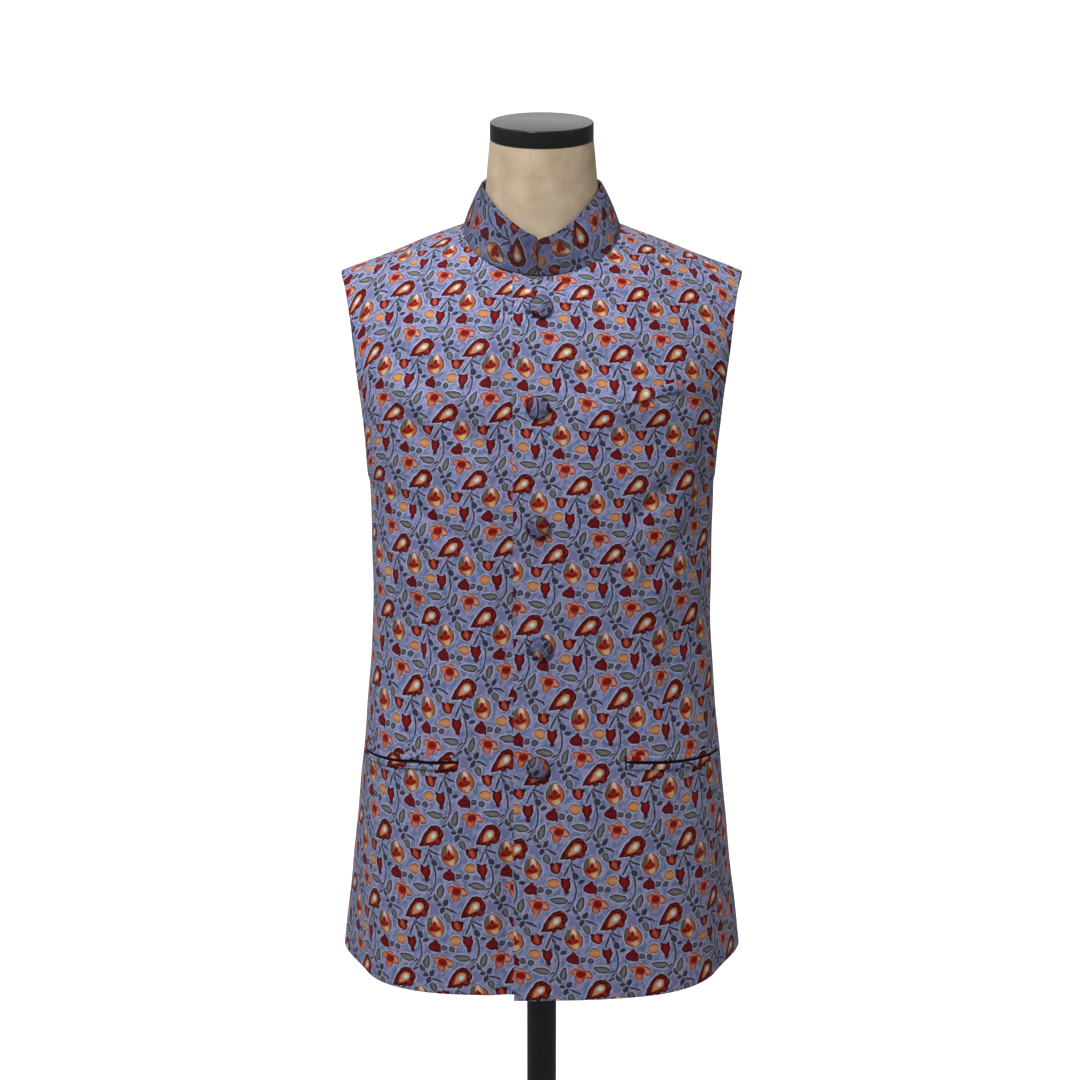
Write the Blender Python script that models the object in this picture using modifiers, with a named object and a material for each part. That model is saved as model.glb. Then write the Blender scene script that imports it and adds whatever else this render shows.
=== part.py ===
"""A sleeveless nehru jacket with a band collar, worn on a limbless dress form that stands on a pole and a round base.

Metres, +Z up. The origin is on the floor under the middle of the base, the front of the jacket faces -Y, and the
wearer's left front, which laps on top, is on the +X side. The jacket is hollow: every cloth piece is a wall that
follows one body surface, given by the tables of sections below.
"""
import math

import bmesh
import bpy
from mathutils import Vector

# ---- driving dimensions, in metres ----
WALL = 0.002                 # thickness of the made-up cloth
SEAM_GAP = 0.0003            # between pieces that meet at a seam
LAY_GAP = 0.0004             # between a panel and what lies on it
LAP_GAP = 0.0008             # between the two fronts where they lap
HEM_HEIGHT = 0.681
UNDERARM_HEIGHT = 1.210
NECK_HALF_WIDTH = 0.079      # neck point, where neckline and shoulder seam meet
NECK_POINT_HEIGHT = 1.4740
NECK_FRONT_HEIGHT = 1.4395   # neckline at the centre front
NECK_BACK_HEIGHT = 1.4765    # neckline at the centre back
SHOULDER_TIP = 0.2032        # half the width across the shoulders
SHOULDER_SLOPE = 0.388       # drop of the shoulder seam for each metre outward
NECK_RISE_FRONT = 0.0085     # how far the body still rises from the neck point to the middle
NECK_RISE_BACK = 0.020
RIDGE_Y = 0.004              # the shoulder seam, a little behind the middle
FRONT_ROOF = 0.120           # height over which the front turns back to the shoulder seam
BACK_ROOF = 0.100
FRONT_LAP = 0.0290           # the top front runs this far past the centre front
UNDER_LAP = 0.0220           # and the under front this far the other way, beneath it
RECESS_MARGIN = 0.0100       # the under front stays recessed this far past the top front's edge
RECESS_RUN = 0.0160          # and comes back out over this width
COLLAR_GAP = 0.0007          # the band stands this far above the neckline
COLLAR_SEAM_X = -0.0040      # the band's two ends meet here

# The body surface under the arms and below. Depths are measured from the side seam's plane, y = 0, and a
# squareness of 2 is an ellipse; more is a flatter front with rounder corners.
# Columns: height, half width, depth in front, depth behind, squareness.
BODY_SECTIONS = (
    (0.660, 0.1945, 0.1380, 0.120, 3.40),
    (0.775, 0.1925, 0.1320, 0.115, 3.00),
    (0.870, 0.1895, 0.1270, 0.109, 2.80),
    (0.960, 0.1840, 0.1220, 0.099, 2.65),
    (1.050, 0.1772, 0.1185, 0.090, 2.50),
    (1.130, 0.1765, 0.1200, 0.090, 2.50),
    (1.210, 0.1775, 0.1230, 0.097, 2.50),
    (1.290, 0.1800, 0.1210, 0.106, 2.50),
    (1.360, 0.1870, 0.1110, 0.108, 2.45),
    (1.420, 0.2000, 0.0990, 0.104, 2.40),
    (1.500, 0.2100, 0.0880, 0.100, 2.40),
)

# Below the hips the cloth stands out at the side seams, where front and back meet in a ridge.
SIDE_KICK = 0.0225           # how far it stands out at the lowest section
SIDE_KICK_TOP = 0.960        # the height where that starts
SIDE_KICK_GROWTH = 1.5       # how late it grows on the way down
SIDE_KICK_SHARE = 0.56       # the share of the depth over which it fades towards the front and the back

# The armhole's edge above the underarm.
# Columns: rise, how far out it lies, how far forward of the side seam, how far behind it.
ARMHOLE = (
    (0.000, 0.1775, 0.000, 0.000),
    (0.005, 0.1775, 0.022, 0.022),
    (0.015, 0.1777, 0.038, 0.038),
    (0.033, 0.1782, 0.050, 0.051),
    (0.060, 0.1797, 0.056, 0.060),
    (0.095, 0.1830, 0.058, 0.065),
    (0.135, 0.1880, 0.058, 0.067),
    (0.175, 0.1928, 0.058, 0.067),
    (0.195, 0.1960, 0.058, 0.067),
    (0.207, 0.1990, 0.058, 0.067),
    (0.216, SHOULDER_TIP, 0.058, 0.067),
)

# Soft folds of the hanging cloth, as offsets outward. "angle" is where a fold runs, in degrees from the centre
# front, positive towards the wearer's left (+X).
# Columns: angle, lower end, upper end, half spread in degrees, offset.
FOLDS = (
    (-52.0, 0.90, 1.16, 9.0, 0.0030),
    (-70.0, 0.88, 1.14, 11.0, -0.0030),
    (61.0, 0.93, 1.12, 12.0, -0.0020),
    (-160.0, 0.70, 1.05, 9.0, -0.0030),
    (152.0, 0.70, 1.02, 10.0, 0.0030),
    (128.0, 0.72, 0.98, 9.0, -0.0025),
)

# Rows of the panels: evenly from the hem to the underarm, then as shares of the way up to the top edge. At the
# armhole they crowd where it starts and where the shoulder turns over; towards the middle they are even.
LOWER_ROWS = 14
UPPER_ROWS = (0.023, 0.070, 0.150, 0.265, 0.40, 0.54, 0.67, 0.79, 0.88, 0.94, 0.98, 0.995)
CROWDED_FROM = 0.45          # share of the way to the side where the rows are fully crowded
LAST_STRIP = 0.0030          # width of the strip along the neckline
LAST_STRIP_DROP = 0.0001     # and its drop along the shoulder seam, where it is all but level
NECK_COLUMNS = 6             # panel columns that end on the neckline, then on the shoulder seam
SHOULDER_COLUMNS = 7
SIDE_STRIP = 0.016           # share of the half panel taken by the narrow strip along its side edge
SECTION_STEPS = 60           # steps in which a section is measured
EDGE_STRIP = 0.010           # width of the top front's column along its edge
TOP_HEM_DROP = 0.0045        # how much lower the top front hangs at its front edge
UNDER_HEM_RISE = 0.0015      # and how much higher the under front does
HEM_LEVEL_FROM = 0.83        # share of the way to the side seam where both hems are level
NORMAL_STEP = 0.002          # half the span over which a surface's direction is read
COLUMN_STEP = 0.02           # step along a panel, in columns, when a place on it is looked for
COLUMN_SPAN = 0.05           # half the span, in columns, over which a panel's direction is read

BUTTON_RADIUS = 0.0120
BUTTON_HEIGHT = 0.0072
BUTTON_SHANK = 0.0014        # how far the rim stands off the cloth
BUTTON_RIM = 0.0022          # height of the rim's straight side
BUTTON_UNDER_RADIUS = 0.0112
BUTTON_UNDER_RISE = 0.0004
BUTTON_SHANK_RADIUS = 0.0040
BUTTON_DOME_STEPS = 4
BUTTON_PLACES = ((-0.001, 1.412), (-0.004, 1.317), (-0.004, 1.195), (-0.001, 1.064), (-0.004, 0.935))

POCKET_START_X = 0.087       # inner end of each hip pocket
POCKET_LENGTH = 0.136
POCKET_INNER_HEIGHT = 0.938
POCKET_OUTER_HEIGHT = 0.922
LIP_HEIGHT = 0.0065
LIP_THICKNESS = 0.0014
LIP_SLIT = 0.0016

WELT_START_X = 0.082         # chest welt, on the wearer's left
WELT_LENGTH = 0.062
WELT_INNER_HEIGHT = 1.3255
WELT_OUTER_HEIGHT = 1.3335
WELT_WIDTH = 0.0100

COLLAR_TOP_HALF_WIDTH = 0.0612
COLLAR_TOP_FRONT = 0.0555
COLLAR_TOP_BACK = 0.0560
COLLAR_TOP_SIDE_HEIGHT = 1.5160
COLLAR_TOP_FRONT_HEIGHT = 1.4735
COLLAR_TOP_BACK_HEIGHT = 1.5190
COLLAR_TIP_DIP = 0.0030      # the rounded tips at the centre front
COLLAR_BULGE = 0.0012        # the band stands slightly rounded
COLLAR_STEP = 7.5            # degrees; half a neckline column
COLLAR_FRONT_POWER = 1.4     # how fast the band's top rises from the ends to the sides; 1 is fastest
COLLAR_BACK_POWER = 1.4      # and how late it rises from the sides to the back
NECKLINE_POWER = 1.15        # and how late the neckline does

# The dress form, clear of the cloth all over.
# Columns: height, half width, depth in front, depth behind, squareness.
FORM_SECTIONS = (
    (0.755, 0.158, 0.100, 0.092, 2.30),
    (0.800, 0.167, 0.107, 0.099, 2.30),
    (0.880, 0.171, 0.110, 0.100, 2.30),
    (0.960, 0.164, 0.106, 0.089, 2.30),
    (1.060, 0.153, 0.102, 0.077, 2.30),
    (1.130, 0.155, 0.107, 0.079, 2.30),
    (1.210, 0.163, 0.111, 0.087, 2.40),
    (1.300, 0.171, 0.107, 0.094, 2.40),
    (1.360, 0.173, 0.093, 0.093, 2.30),
    (1.395, 0.172, 0.079, 0.084, 2.10),
    (1.415, 0.166, 0.069, 0.075, 1.90),
    (1.430, 0.150, 0.060, 0.067, 1.70),
    (1.444, 0.118, 0.053, 0.060, 1.65),
    (1.456, 0.088, 0.050, 0.055, 1.70),
    (1.470, 0.066, 0.0480, 0.0525, 1.90),
    (1.490, 0.0590, 0.0485, 0.0505, 2.00),
    (1.516, 0.0565, 0.0505, 0.0505, 2.00),
    (1.545, 0.0540, 0.0520, 0.0520, 2.00),
    (1.5620, 0.0523, 0.0523, 0.0523, 2.00),
)
FORM_RING_POINTS = 36
FORM_RING_COUNT = 34
FORM_EDGE_ROUND = 0.006      # the rounded lower edge

CAP_RADIUS = 0.0520
CAP_BOTTOM = 1.5623
CAP_TOP = 1.5800
CAP_EDGE = 0.0012
POLE_RADIUS = 0.0160
BASE_RADIUS = 0.1800
BASE_RIM = 0.0070
BASE_CROWN = 0.0140
BASE_SHOULDER = 0.1080       # radius where the crown of the base turns down
BASE_SHOULDER_HEIGHT = 0.0119
BASE_EDGE = 0.0020           # rounding of the rim's edges
HUB_RADIUS = 0.0300          # the socket that holds the pole
HUB_HEIGHT = 0.0450
HUB_EDGE = 0.0030            # rounding of the hub's edges
TURN_STEPS = 48
BUTTON_STEPS = 20

COLOURS = {
    "printed_cloth": ((0.27, 0.29, 0.53), 0.80, 0.0),
    "covered_button": ((0.25, 0.24, 0.46), 0.70, 0.0),
    "linen": ((0.60, 0.50, 0.36), 0.90, 0.0),
    "cap_lacquer": ((0.012, 0.012, 0.014), 0.30, 0.0),
    "stand_metal": ((0.10, 0.10, 0.11), 0.35, 0.9),
}


# ---- the body surface ----
def read_table(rows, height):
    """Read every column of a table of sections at a height, along a smooth curve through its rows."""
    height = min(max(height, rows[0][0]), rows[-1][0])
    upper = 1
    while rows[upper][0] < height and upper < len(rows) - 1:
        upper += 1
    before = rows[max(upper - 2, 0)]
    low = rows[upper - 1]
    high = rows[upper]
    after = rows[min(upper + 1, len(rows) - 1)]
    span = high[0] - low[0]
    t = (height - low[0]) / span
    values = []
    for column in range(1, len(low)):
        slope_low = (high[column] - before[column]) / (high[0] - before[0]) * span
        slope_high = (after[column] - low[column]) / (after[0] - low[0]) * span
        rise = high[column] - low[column]
        bend = slope_low + slope_high - 2 * rise
        lean = 3 * rise - 2 * slope_low - slope_high
        values.append(low[column] + slope_low * t + lean * t ** 2 + bend * t ** 3)
    return values


def body_section(height):
    """Half width, depth in front, depth behind and squareness of the body at a height."""
    half_width, front, back, squareness = read_table(BODY_SECTIONS, height)
    rise = height - UNDERARM_HEIGHT
    if rise > 0:
        edge_x, edge_front, _ = read_table(ARMHOLE, rise)
        share = min(edge_front / front, 0.95)
        half_width = edge_x / (1 - share ** squareness) ** (1 / squareness)
    return half_width, front, back, squareness


def shoulder_height(x, behind=False):
    """Height of the shoulder line at a distance from the middle; inside the neck it rises towards the middle."""
    if abs(x) >= NECK_HALF_WIDTH:
        return NECK_POINT_HEIGHT - SHOULDER_SLOPE * (abs(x) - NECK_HALF_WIDTH)
    rise = NECK_RISE_BACK if behind else NECK_RISE_FRONT
    return NECK_POINT_HEIGHT + rise * (1 - (x / NECK_HALF_WIDTH) ** 2)


def surface_y(x, height, behind):
    """The body surface as a depth over the front or the back, turning over at the shoulder line."""
    half_width, front, back, squareness = body_section(height)
    depth = back if behind else -front
    roof = BACK_ROOF if behind else FRONT_ROOF
    share = min(abs(x) / half_width, 1.0)
    across = (1 - share ** squareness) ** (1 / squareness)
    below = min(max((shoulder_height(x, behind) - height) / roof, 0.0), 1.0)
    turned = math.sqrt(1 - (1 - below) ** 2)
    return RIDGE_Y * (1 - turned) + depth * across * turned


def surface_normal(x, height, behind):
    """Outward direction of the body surface, away from its side edges."""
    step = NORMAL_STEP
    slope_x = (surface_y(x + step, height, behind) - surface_y(x - step, height, behind)) / (2 * step)
    slope_z = (surface_y(x, height + step, behind) - surface_y(x, height - step, behind)) / (2 * step)
    outward = Vector((-slope_x, 1.0, -slope_z)) if behind else Vector((slope_x, -1.0, slope_z))
    return outward.normalized()


def ease(t):
    """0 to 1 with level ends."""
    t = min(max(t, 0.0), 1.0)
    return t * t * (3 - 2 * t)


def side_kick(height):
    """How far the cloth stands out along the side seam at a height."""
    growth = max(SIDE_KICK_TOP - height, 0.0) / (SIDE_KICK_TOP - BODY_SECTIONS[0][0])
    return SIDE_KICK * growth ** SIDE_KICK_GROWTH


def quarter_section(height, share, behind):
    """A point on the section at a height, a share of the way along it from the middle to the side seam."""
    half_width, front, back, squareness = body_section(height)
    depth = back if behind else -front
    points = []
    for step in range(SECTION_STEPS + 1):
        angle = math.pi / 2 * step / SECTION_STEPS
        sine = math.sin(angle)
        cosine = max(math.cos(angle), 0.0)
        reach = (sine ** squareness + cosine ** squareness) ** (-1 / squareness)
        kick = side_kick(height) * (1 - ease(cosine * reach / SIDE_KICK_SHARE))
        points.append((half_width * sine * reach + kick, depth * cosine * reach))
    lengths = [0.0]
    for (x0, y0), (x1, y1) in zip(points, points[1:]):
        lengths.append(lengths[-1] + math.hypot(x1 - x0, y1 - y0))
    target = share * lengths[-1]
    step = 0
    while step < SECTION_STEPS - 1 and lengths[step + 1] < target:
        step += 1
    t = (target - lengths[step]) / (lengths[step + 1] - lengths[step])
    (x0, y0), (x1, y1) = points[step], points[step + 1]
    return x0 + (x1 - x0) * t, y0 + (y1 - y0) * t


def with_folds(point):
    """Move a point of the hanging cloth outward or inward by the soft folds that cross it."""
    angle = math.degrees(math.atan2(point.x, -point.y))
    offset = 0.0
    for fold_angle, low, high, half_spread, amount in FOLDS:
        across = abs((angle - fold_angle + 180) % 360 - 180) / half_spread
        along = (point.z - low) / (high - low)
        if across < 1 and 0 < along < 1:
            offset += amount * (1 - ease(across)) * math.sin(math.pi * along)
    half_width, front, back, _ = body_section(point.z)
    depth = front if point.y < 0 else back
    outward = Vector((point.x / half_width ** 2, point.y / depth ** 2, 0.0)).normalized()
    return point + outward * offset


# ---- the neckline ----
def neckline(turn):
    """A point of the neckline; the turn goes from 0 at the centre front by 90 at the neck point to 180 behind."""
    behind = turn > 90
    away = abs(math.cos(math.radians(turn))) ** NECKLINE_POWER
    end = NECK_BACK_HEIGHT if behind else NECK_FRONT_HEIGHT
    x = NECK_HALF_WIDTH * math.sin(math.radians(turn))
    height = NECK_POINT_HEIGHT + (end - NECK_POINT_HEIGHT) * away
    return Vector((x, surface_y(x, height, behind), height))


# ---- meshes ----
def cloth_material(name):
    colour, roughness, metallic = COLOURS[name]
    material = bpy.data.materials.get(name)
    if material is None:
        material = bpy.data.materials.new(name)
        material.use_nodes = True
        shader = material.node_tree.nodes["Principled BSDF"]
        shader.inputs["Base Color"].default_value = (*colour, 1.0)
        shader.inputs["Roughness"].default_value = roughness
        shader.inputs["Metallic"].default_value = metallic
    return material


def add_object(name, mesh, material, collection):
    mesh.materials.append(cloth_material(material))
    mesh.shade_smooth()
    mesh.set_sharp_from_angle(angle=math.radians(35))
    piece = bpy.data.objects.new(name, mesh)
    collection.objects.link(piece)
    return piece


def lofted_mesh(name, rows, closed=False, capped=False):
    """A mesh through rows of points. Rows go up and points go anticlockwise seen from above, so it faces out."""
    work = bmesh.new()
    rings = [[work.verts.new(point) for point in row] for row in rows]
    count = len(rings[0])
    for lower, upper in zip(rings, rings[1:]):
        for index in range(count if closed else count - 1):
            after = (index + 1) % count
            work.faces.new((lower[index], lower[after], upper[after], upper[index]))
    if capped:
        work.faces.new(list(reversed(rings[0])))
        work.faces.new(rings[-1])
    mesh = bpy.data.meshes.new(name)
    work.to_mesh(mesh)
    work.free()
    return mesh


def cloth_wall(name, rows, material, collection, thickness=WALL):
    """A cloth piece: the outer surface through the rows, thickened inward."""
    piece = add_object(name, lofted_mesh(name, rows), material, collection)
    solidify = piece.modifiers.new("wall", "SOLIDIFY")
    solidify.thickness = thickness
    solidify.offset = -1.0
    solidify.use_even_offset = True
    return piece


def turned_piece(name, profile, steps, material, collection):
    """A turned piece: a profile of (radius, height) that runs down its outer side, screwed about Z."""
    work = bmesh.new()
    verts = [work.verts.new((radius, 0.0, height)) for radius, height in profile]
    for first, second in zip(verts, verts[1:]):
        work.edges.new((first, second))
    mesh = bpy.data.meshes.new(name)
    work.to_mesh(mesh)
    work.free()
    piece = add_object(name, mesh, material, collection)
    screw = piece.modifiers.new("turn", "SCREW")
    screw.axis = "Z"
    screw.steps = steps
    screw.render_steps = steps
    screw.use_merge_vertices = True
    screw.merge_threshold = 0.00001
    screw.use_smooth_shade = True
    return piece


# ---- the panels ----
def panel_rows(edges, behind, hem_at, recess_at):
    """The rows of half a panel, from its middle edge columns out to the side seam and the armhole.

    edges are the x places of the columns at or past the centre; the last of them is the centre itself. hem_at gives
    the hem's height at a share of the way to the side seam, and recess_at how far the cloth lies inward at an x.
    """
    columns = []
    for x in edges:
        columns.append((x, 0.0, abs(x) / NECK_HALF_WIDTH))
    side_count = NECK_COLUMNS + SHOULDER_COLUMNS
    for index in range(1, side_count):
        columns.append((None, index / side_count, None))
    columns.append((None, 1 - SIDE_STRIP, None))
    columns.append((None, 1.0, None))
    seam = SEAM_GAP / 2 if behind else -SEAM_GAP / 2
    rows = []
    for row in range(LOWER_ROWS + 1):
        line = []
        for x, share, _ in columns:
            low = hem_at(share)
            height = low + (UNDERARM_HEIGHT - low) * row / LOWER_ROWS
            if x is None:
                section_x, y = quarter_section(height, share, behind)
                if share == 1:
                    y = seam
            else:
                section_x, y = x, surface_y(x, height, behind)
            point = with_folds(Vector((section_x, y, height)))
            if share == 1:
                point.y = seam
            line.append(recessed(point, recess_at, behind))
        rows.append(line)
    underarm = rows[-1]
    width = quarter_section(UNDERARM_HEIGHT, 1, behind)[0]
    tops = [column_top(column, behind) for column in columns]
    strips = [strip_point(top, behind) for top in tops]
    tip_rise = shoulder_height(SHOULDER_TIP) - UNDERARM_HEIGHT
    tip_x = read_table(ARMHOLE, tip_rise)[0]
    for number, crowded_rise in enumerate(UPPER_ROWS, 1):
        line = []
        for (set_x, across, _), start, strip in zip(columns, underarm, strips):
            crowding = ease(across / CROWDED_FROM)
            rise = number / (len(UPPER_ROWS) + 1) * (1 - crowding) + crowded_rise * crowding
            height = UNDERARM_HEIGHT + (strip.z - UNDERARM_HEIGHT) * rise
            blend = ease(rise)
            share = start.x / width * (1 - blend) + strip.x / tip_x * blend
            x = share * read_table(ARMHOLE, tip_rise * rise)[0] if set_x is None else set_x
            point = Vector((x, surface_y(x, height, behind), height))
            line.append(recessed(point, recess_at, behind))
        rows.append(line)
    rows.append([recessed(point, recess_at, behind) for point in strips])
    rows.append([recessed(point, recess_at, behind) for point in tops])
    return rows


def column_top(column, behind):
    """Where a column of a panel ends: on the neckline, or on the shoulder seam."""
    x, share, neck_share = column
    if neck_share is not None:
        turn = math.degrees(math.asin(neck_share))
        point = neckline(180 - turn if behind else turn)
        return Vector((x, point.y, point.z))
    along = share * (NECK_COLUMNS + SHOULDER_COLUMNS)
    if along < NECK_COLUMNS:
        turn = 90 * along / NECK_COLUMNS
        return neckline(180 - turn if behind else turn)
    out = (along - NECK_COLUMNS) / SHOULDER_COLUMNS
    x = NECK_HALF_WIDTH + (SHOULDER_TIP - NECK_HALF_WIDTH) * out
    seam = SEAM_GAP / 2 if behind else -SEAM_GAP / 2
    return Vector((x, RIDGE_Y + seam, shoulder_height(x)))


def strip_point(top, behind):
    """A point just inside the top edge of a panel."""
    across = min(abs(top.x) / NECK_HALF_WIDTH, 1.0)
    drop = max(LAST_STRIP * math.sqrt(1 - across ** 2), LAST_STRIP_DROP)
    height = top.z - drop
    return Vector((top.x, surface_y(top.x, height, behind), height))


def recessed(point, recess_at, behind):
    depth = recess_at(point.x)
    if depth == 0:
        return point
    return point - surface_normal(point.x, point.z, behind) * depth


def mirrored(rows):
    return [[Vector((-point.x, point.y, point.z)) for point in reversed(row)] for row in rows]


def left_hem(share):
    """The top front hangs a little lower towards its front edge."""
    return HEM_HEIGHT - TOP_HEM_DROP * (1 - ease(share / HEM_LEVEL_FROM))


def right_hem(share):
    return HEM_HEIGHT + UNDER_HEM_RISE * (1 - ease(share / HEM_LEVEL_FROM))


def back_hem(share):
    return HEM_HEIGHT


def no_recess(x):
    return 0.0


def under_recess(x):
    """The under front lies one wall deeper where the top front covers it."""
    full = WALL + LAP_GAP
    return full * (1 - ease((x - FRONT_LAP - RECESS_MARGIN) / RECESS_RUN))


def front_left_rows():
    edges = (-FRONT_LAP, -FRONT_LAP + EDGE_STRIP, 0.0)
    return panel_rows(edges, False, left_hem, no_recess)


def front_right_rows():
    edges = (-UNDER_LAP, 0.0)
    return mirrored(panel_rows(edges, False, right_hem, under_recess))


def back_rows():
    """Both halves of the back in one piece, from the wearer's left side seam round to the right one."""
    half = panel_rows((0.0,), True, back_hem, no_recess)
    rows = []
    for row in half:
        far = [Vector((-point.x, point.y, point.z)) for point in row[1:]]
        rows.append(list(reversed(row)) + far)
    return rows


# ---- what lies on a panel, made from the panel's points ----
def panel_point(rows, column, height):
    """The point of a panel at a column, which may lie between two, and a height."""
    first = min(int(column), len(rows[0]) - 2)
    t = column - first
    line = [row[first].lerp(row[first + 1], t) for row in rows]
    for low, high in zip(line, line[1:]):
        if low.z <= height <= high.z:
            return low.lerp(high, (height - low.z) / (high.z - low.z))
    raise ValueError("no such height on the panel")


def column_at(rows, start_x, height, distance):
    """The column a distance outward along the panel, level with a height, from where the panel crosses start_x."""
    outward = 1 if start_x > 0 else -1
    column = 0.0
    while panel_point(rows, column, height).x < start_x:
        column += COLUMN_STEP
    point = panel_point(rows, column, height)
    gone = 0.0
    while gone < distance:
        column += COLUMN_STEP * outward
        after = panel_point(rows, column, height)
        gone += (after - point).length
        point = after
    return column


def laid_strip(name, rows, start_x, length, heights, lower, upper, thickness, material, collection):
    """A strip that lies on a panel: heights are its line's at both ends, lower and upper its edges from that line."""
    middle = (heights[0] + heights[1]) / 2
    inner = column_at(rows, start_x, middle, 0.0)
    outer = column_at(rows, start_x, middle, length)
    first, last = sorted((inner, outer))
    stops = [first] + [float(c) for c in range(int(first) + 1, int(last) + 1) if first < c < last] + [last]
    lift = LAY_GAP + thickness
    strip = []
    for edge in (lower, upper):
        line = []
        for column in stops:
            share = abs(column - inner) / abs(outer - inner)
            height = heights[0] + (heights[1] - heights[0]) * share + edge
            point = panel_point(rows, column, height)
            along = panel_point(rows, column + COLUMN_SPAN, height) - panel_point(rows, column - COLUMN_SPAN, height)
            above = panel_point(rows, column, height + NORMAL_STEP)
            below = panel_point(rows, column, height - NORMAL_STEP)
            line.append(point + along.cross(above - below).normalized() * lift)
        strip.append(line)
    return cloth_wall(name, strip, material, collection, thickness)


# ---- the sub-parts ----
def make_collar(collection):
    """The band collar: one curved strip from one front end round the back to the other."""
    ends = {"start": COLLAR_SEAM_X + SEAM_GAP, "end": COLLAR_SEAM_X - SEAM_GAP}
    turns = [("start", math.degrees(math.asin(ends["start"] / NECK_HALF_WIDTH)))]
    turns += [("band", COLLAR_STEP * step) for step in range(1, round(360 / COLLAR_STEP) - 1)]
    turns += [("end", math.degrees(math.asin(ends["end"] / NECK_HALF_WIDTH)))]
    low, middle, high = [], [], []
    for place, turn in turns:
        sine = math.sin(math.radians(turn))
        cosine = math.cos(math.radians(turn))
        base = neckline(math.degrees(math.acos(cosine)))
        base.x = NECK_HALF_WIDTH * sine
        base.z += COLLAR_GAP
        away = 1 - abs(sine) ** COLLAR_FRONT_POWER if cosine > 0 else abs(cosine) ** COLLAR_BACK_POWER
        depth = COLLAR_TOP_FRONT if cosine > 0 else COLLAR_TOP_BACK
        end_height = COLLAR_TOP_FRONT_HEIGHT if cosine > 0 else COLLAR_TOP_BACK_HEIGHT
        height = COLLAR_TOP_SIDE_HEIGHT + (end_height - COLLAR_TOP_SIDE_HEIGHT) * away
        x = COLLAR_TOP_HALF_WIDTH * sine
        if place in ends:
            x = ends[place]
            height -= COLLAR_TIP_DIP
        top = Vector((x, -depth * cosine + RIDGE_Y * (1 - abs(cosine)), height))
        half_way = (base + top) / 2
        outward = Vector((0.0 if place in ends else half_way.x, half_way.y, 0.0)).normalized()
        low.append(base)
        middle.append(half_way + outward * COLLAR_BULGE)
        high.append(top)
    return cloth_wall("collar", [low, middle, high], "printed_cloth", collection)


def make_buttons(collection):
    """Five covered buttons with a domed top and a short shank, on the top front."""
    rim_top = BUTTON_SHANK + BUTTON_RIM
    profile = []
    for step in range(BUTTON_DOME_STEPS + 1):
        angle = math.pi / 2 * step / BUTTON_DOME_STEPS
        height = rim_top + (BUTTON_HEIGHT - rim_top) * math.cos(angle)
        profile.append((BUTTON_RADIUS * math.sin(angle), height))
    profile += [
        (BUTTON_UNDER_RADIUS, BUTTON_SHANK + BUTTON_UNDER_RISE),
        (BUTTON_SHANK_RADIUS, BUTTON_SHANK),
        (BUTTON_SHANK_RADIUS, 0.0),
        (0.0, 0.0),
    ]
    for number, (x, height) in enumerate(BUTTON_PLACES, 1):
        normal = surface_normal(x, height, False)
        button = turned_piece(f"button_{number}", profile, BUTTON_STEPS, "covered_button", collection)
        seat = Vector((x, surface_y(x, height, False), height))
        button.location = seat + normal * LAY_GAP
        button.rotation_mode = "QUATERNION"
        button.rotation_quaternion = Vector((0.0, 0.0, 1.0)).rotation_difference(normal)


def make_pockets(left, right, collection):
    """Two lips with a slit between them on each hip, and a welt on the wearer's left chest."""
    heights = (POCKET_INNER_HEIGHT, POCKET_OUTER_HEIGHT)
    half_slit = LIP_SLIT / 2
    for side, rows, start in (("left", left, POCKET_START_X), ("right", right, -POCKET_START_X)):
        laid_strip(f"hip_lip_{side}_upper", rows, start, POCKET_LENGTH, heights, half_slit,
                   half_slit + LIP_HEIGHT, LIP_THICKNESS, "printed_cloth", collection)
        laid_strip(f"hip_lip_{side}_lower", rows, start, POCKET_LENGTH, heights, -half_slit - LIP_HEIGHT,
                   -half_slit, LIP_THICKNESS, "printed_cloth", collection)
    laid_strip("chest_welt", left, WELT_START_X, WELT_LENGTH, (WELT_INNER_HEIGHT, WELT_OUTER_HEIGHT),
               -WELT_WIDTH / 2, WELT_WIDTH / 2, LIP_THICKNESS, "printed_cloth", collection)


def make_form(collection):
    """The limbless dress form, one smooth solid from the hips to the neck."""
    low = FORM_SECTIONS[0][0]
    high = FORM_SECTIONS[-1][0]
    heights = [low + (high - low) * step / FORM_RING_COUNT for step in range(FORM_RING_COUNT + 1)]
    rows = []
    for height in heights:
        half_width, front, back, squareness = read_table(FORM_SECTIONS, height)
        power = 2 / squareness
        ring = []
        for step in range(FORM_RING_POINTS):
            angle = 2 * math.pi * step / FORM_RING_POINTS
            sine, cosine = math.sin(angle), -math.cos(angle)
            x = half_width * math.copysign(abs(sine) ** power, sine)
            depth = front if cosine < 0 else back
            ring.append(Vector((x, depth * math.copysign(abs(cosine) ** power, cosine), height)))
        if not rows:
            shrink = 1 - FORM_EDGE_ROUND / half_width
            rows.append([Vector((p.x * shrink, p.y * shrink, height - FORM_EDGE_ROUND)) for p in ring])
        rows.append(ring)
    mesh = lofted_mesh("form_body", rows, closed=True, capped=True)
    return add_object("form_body", mesh, "linen", collection)


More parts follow.
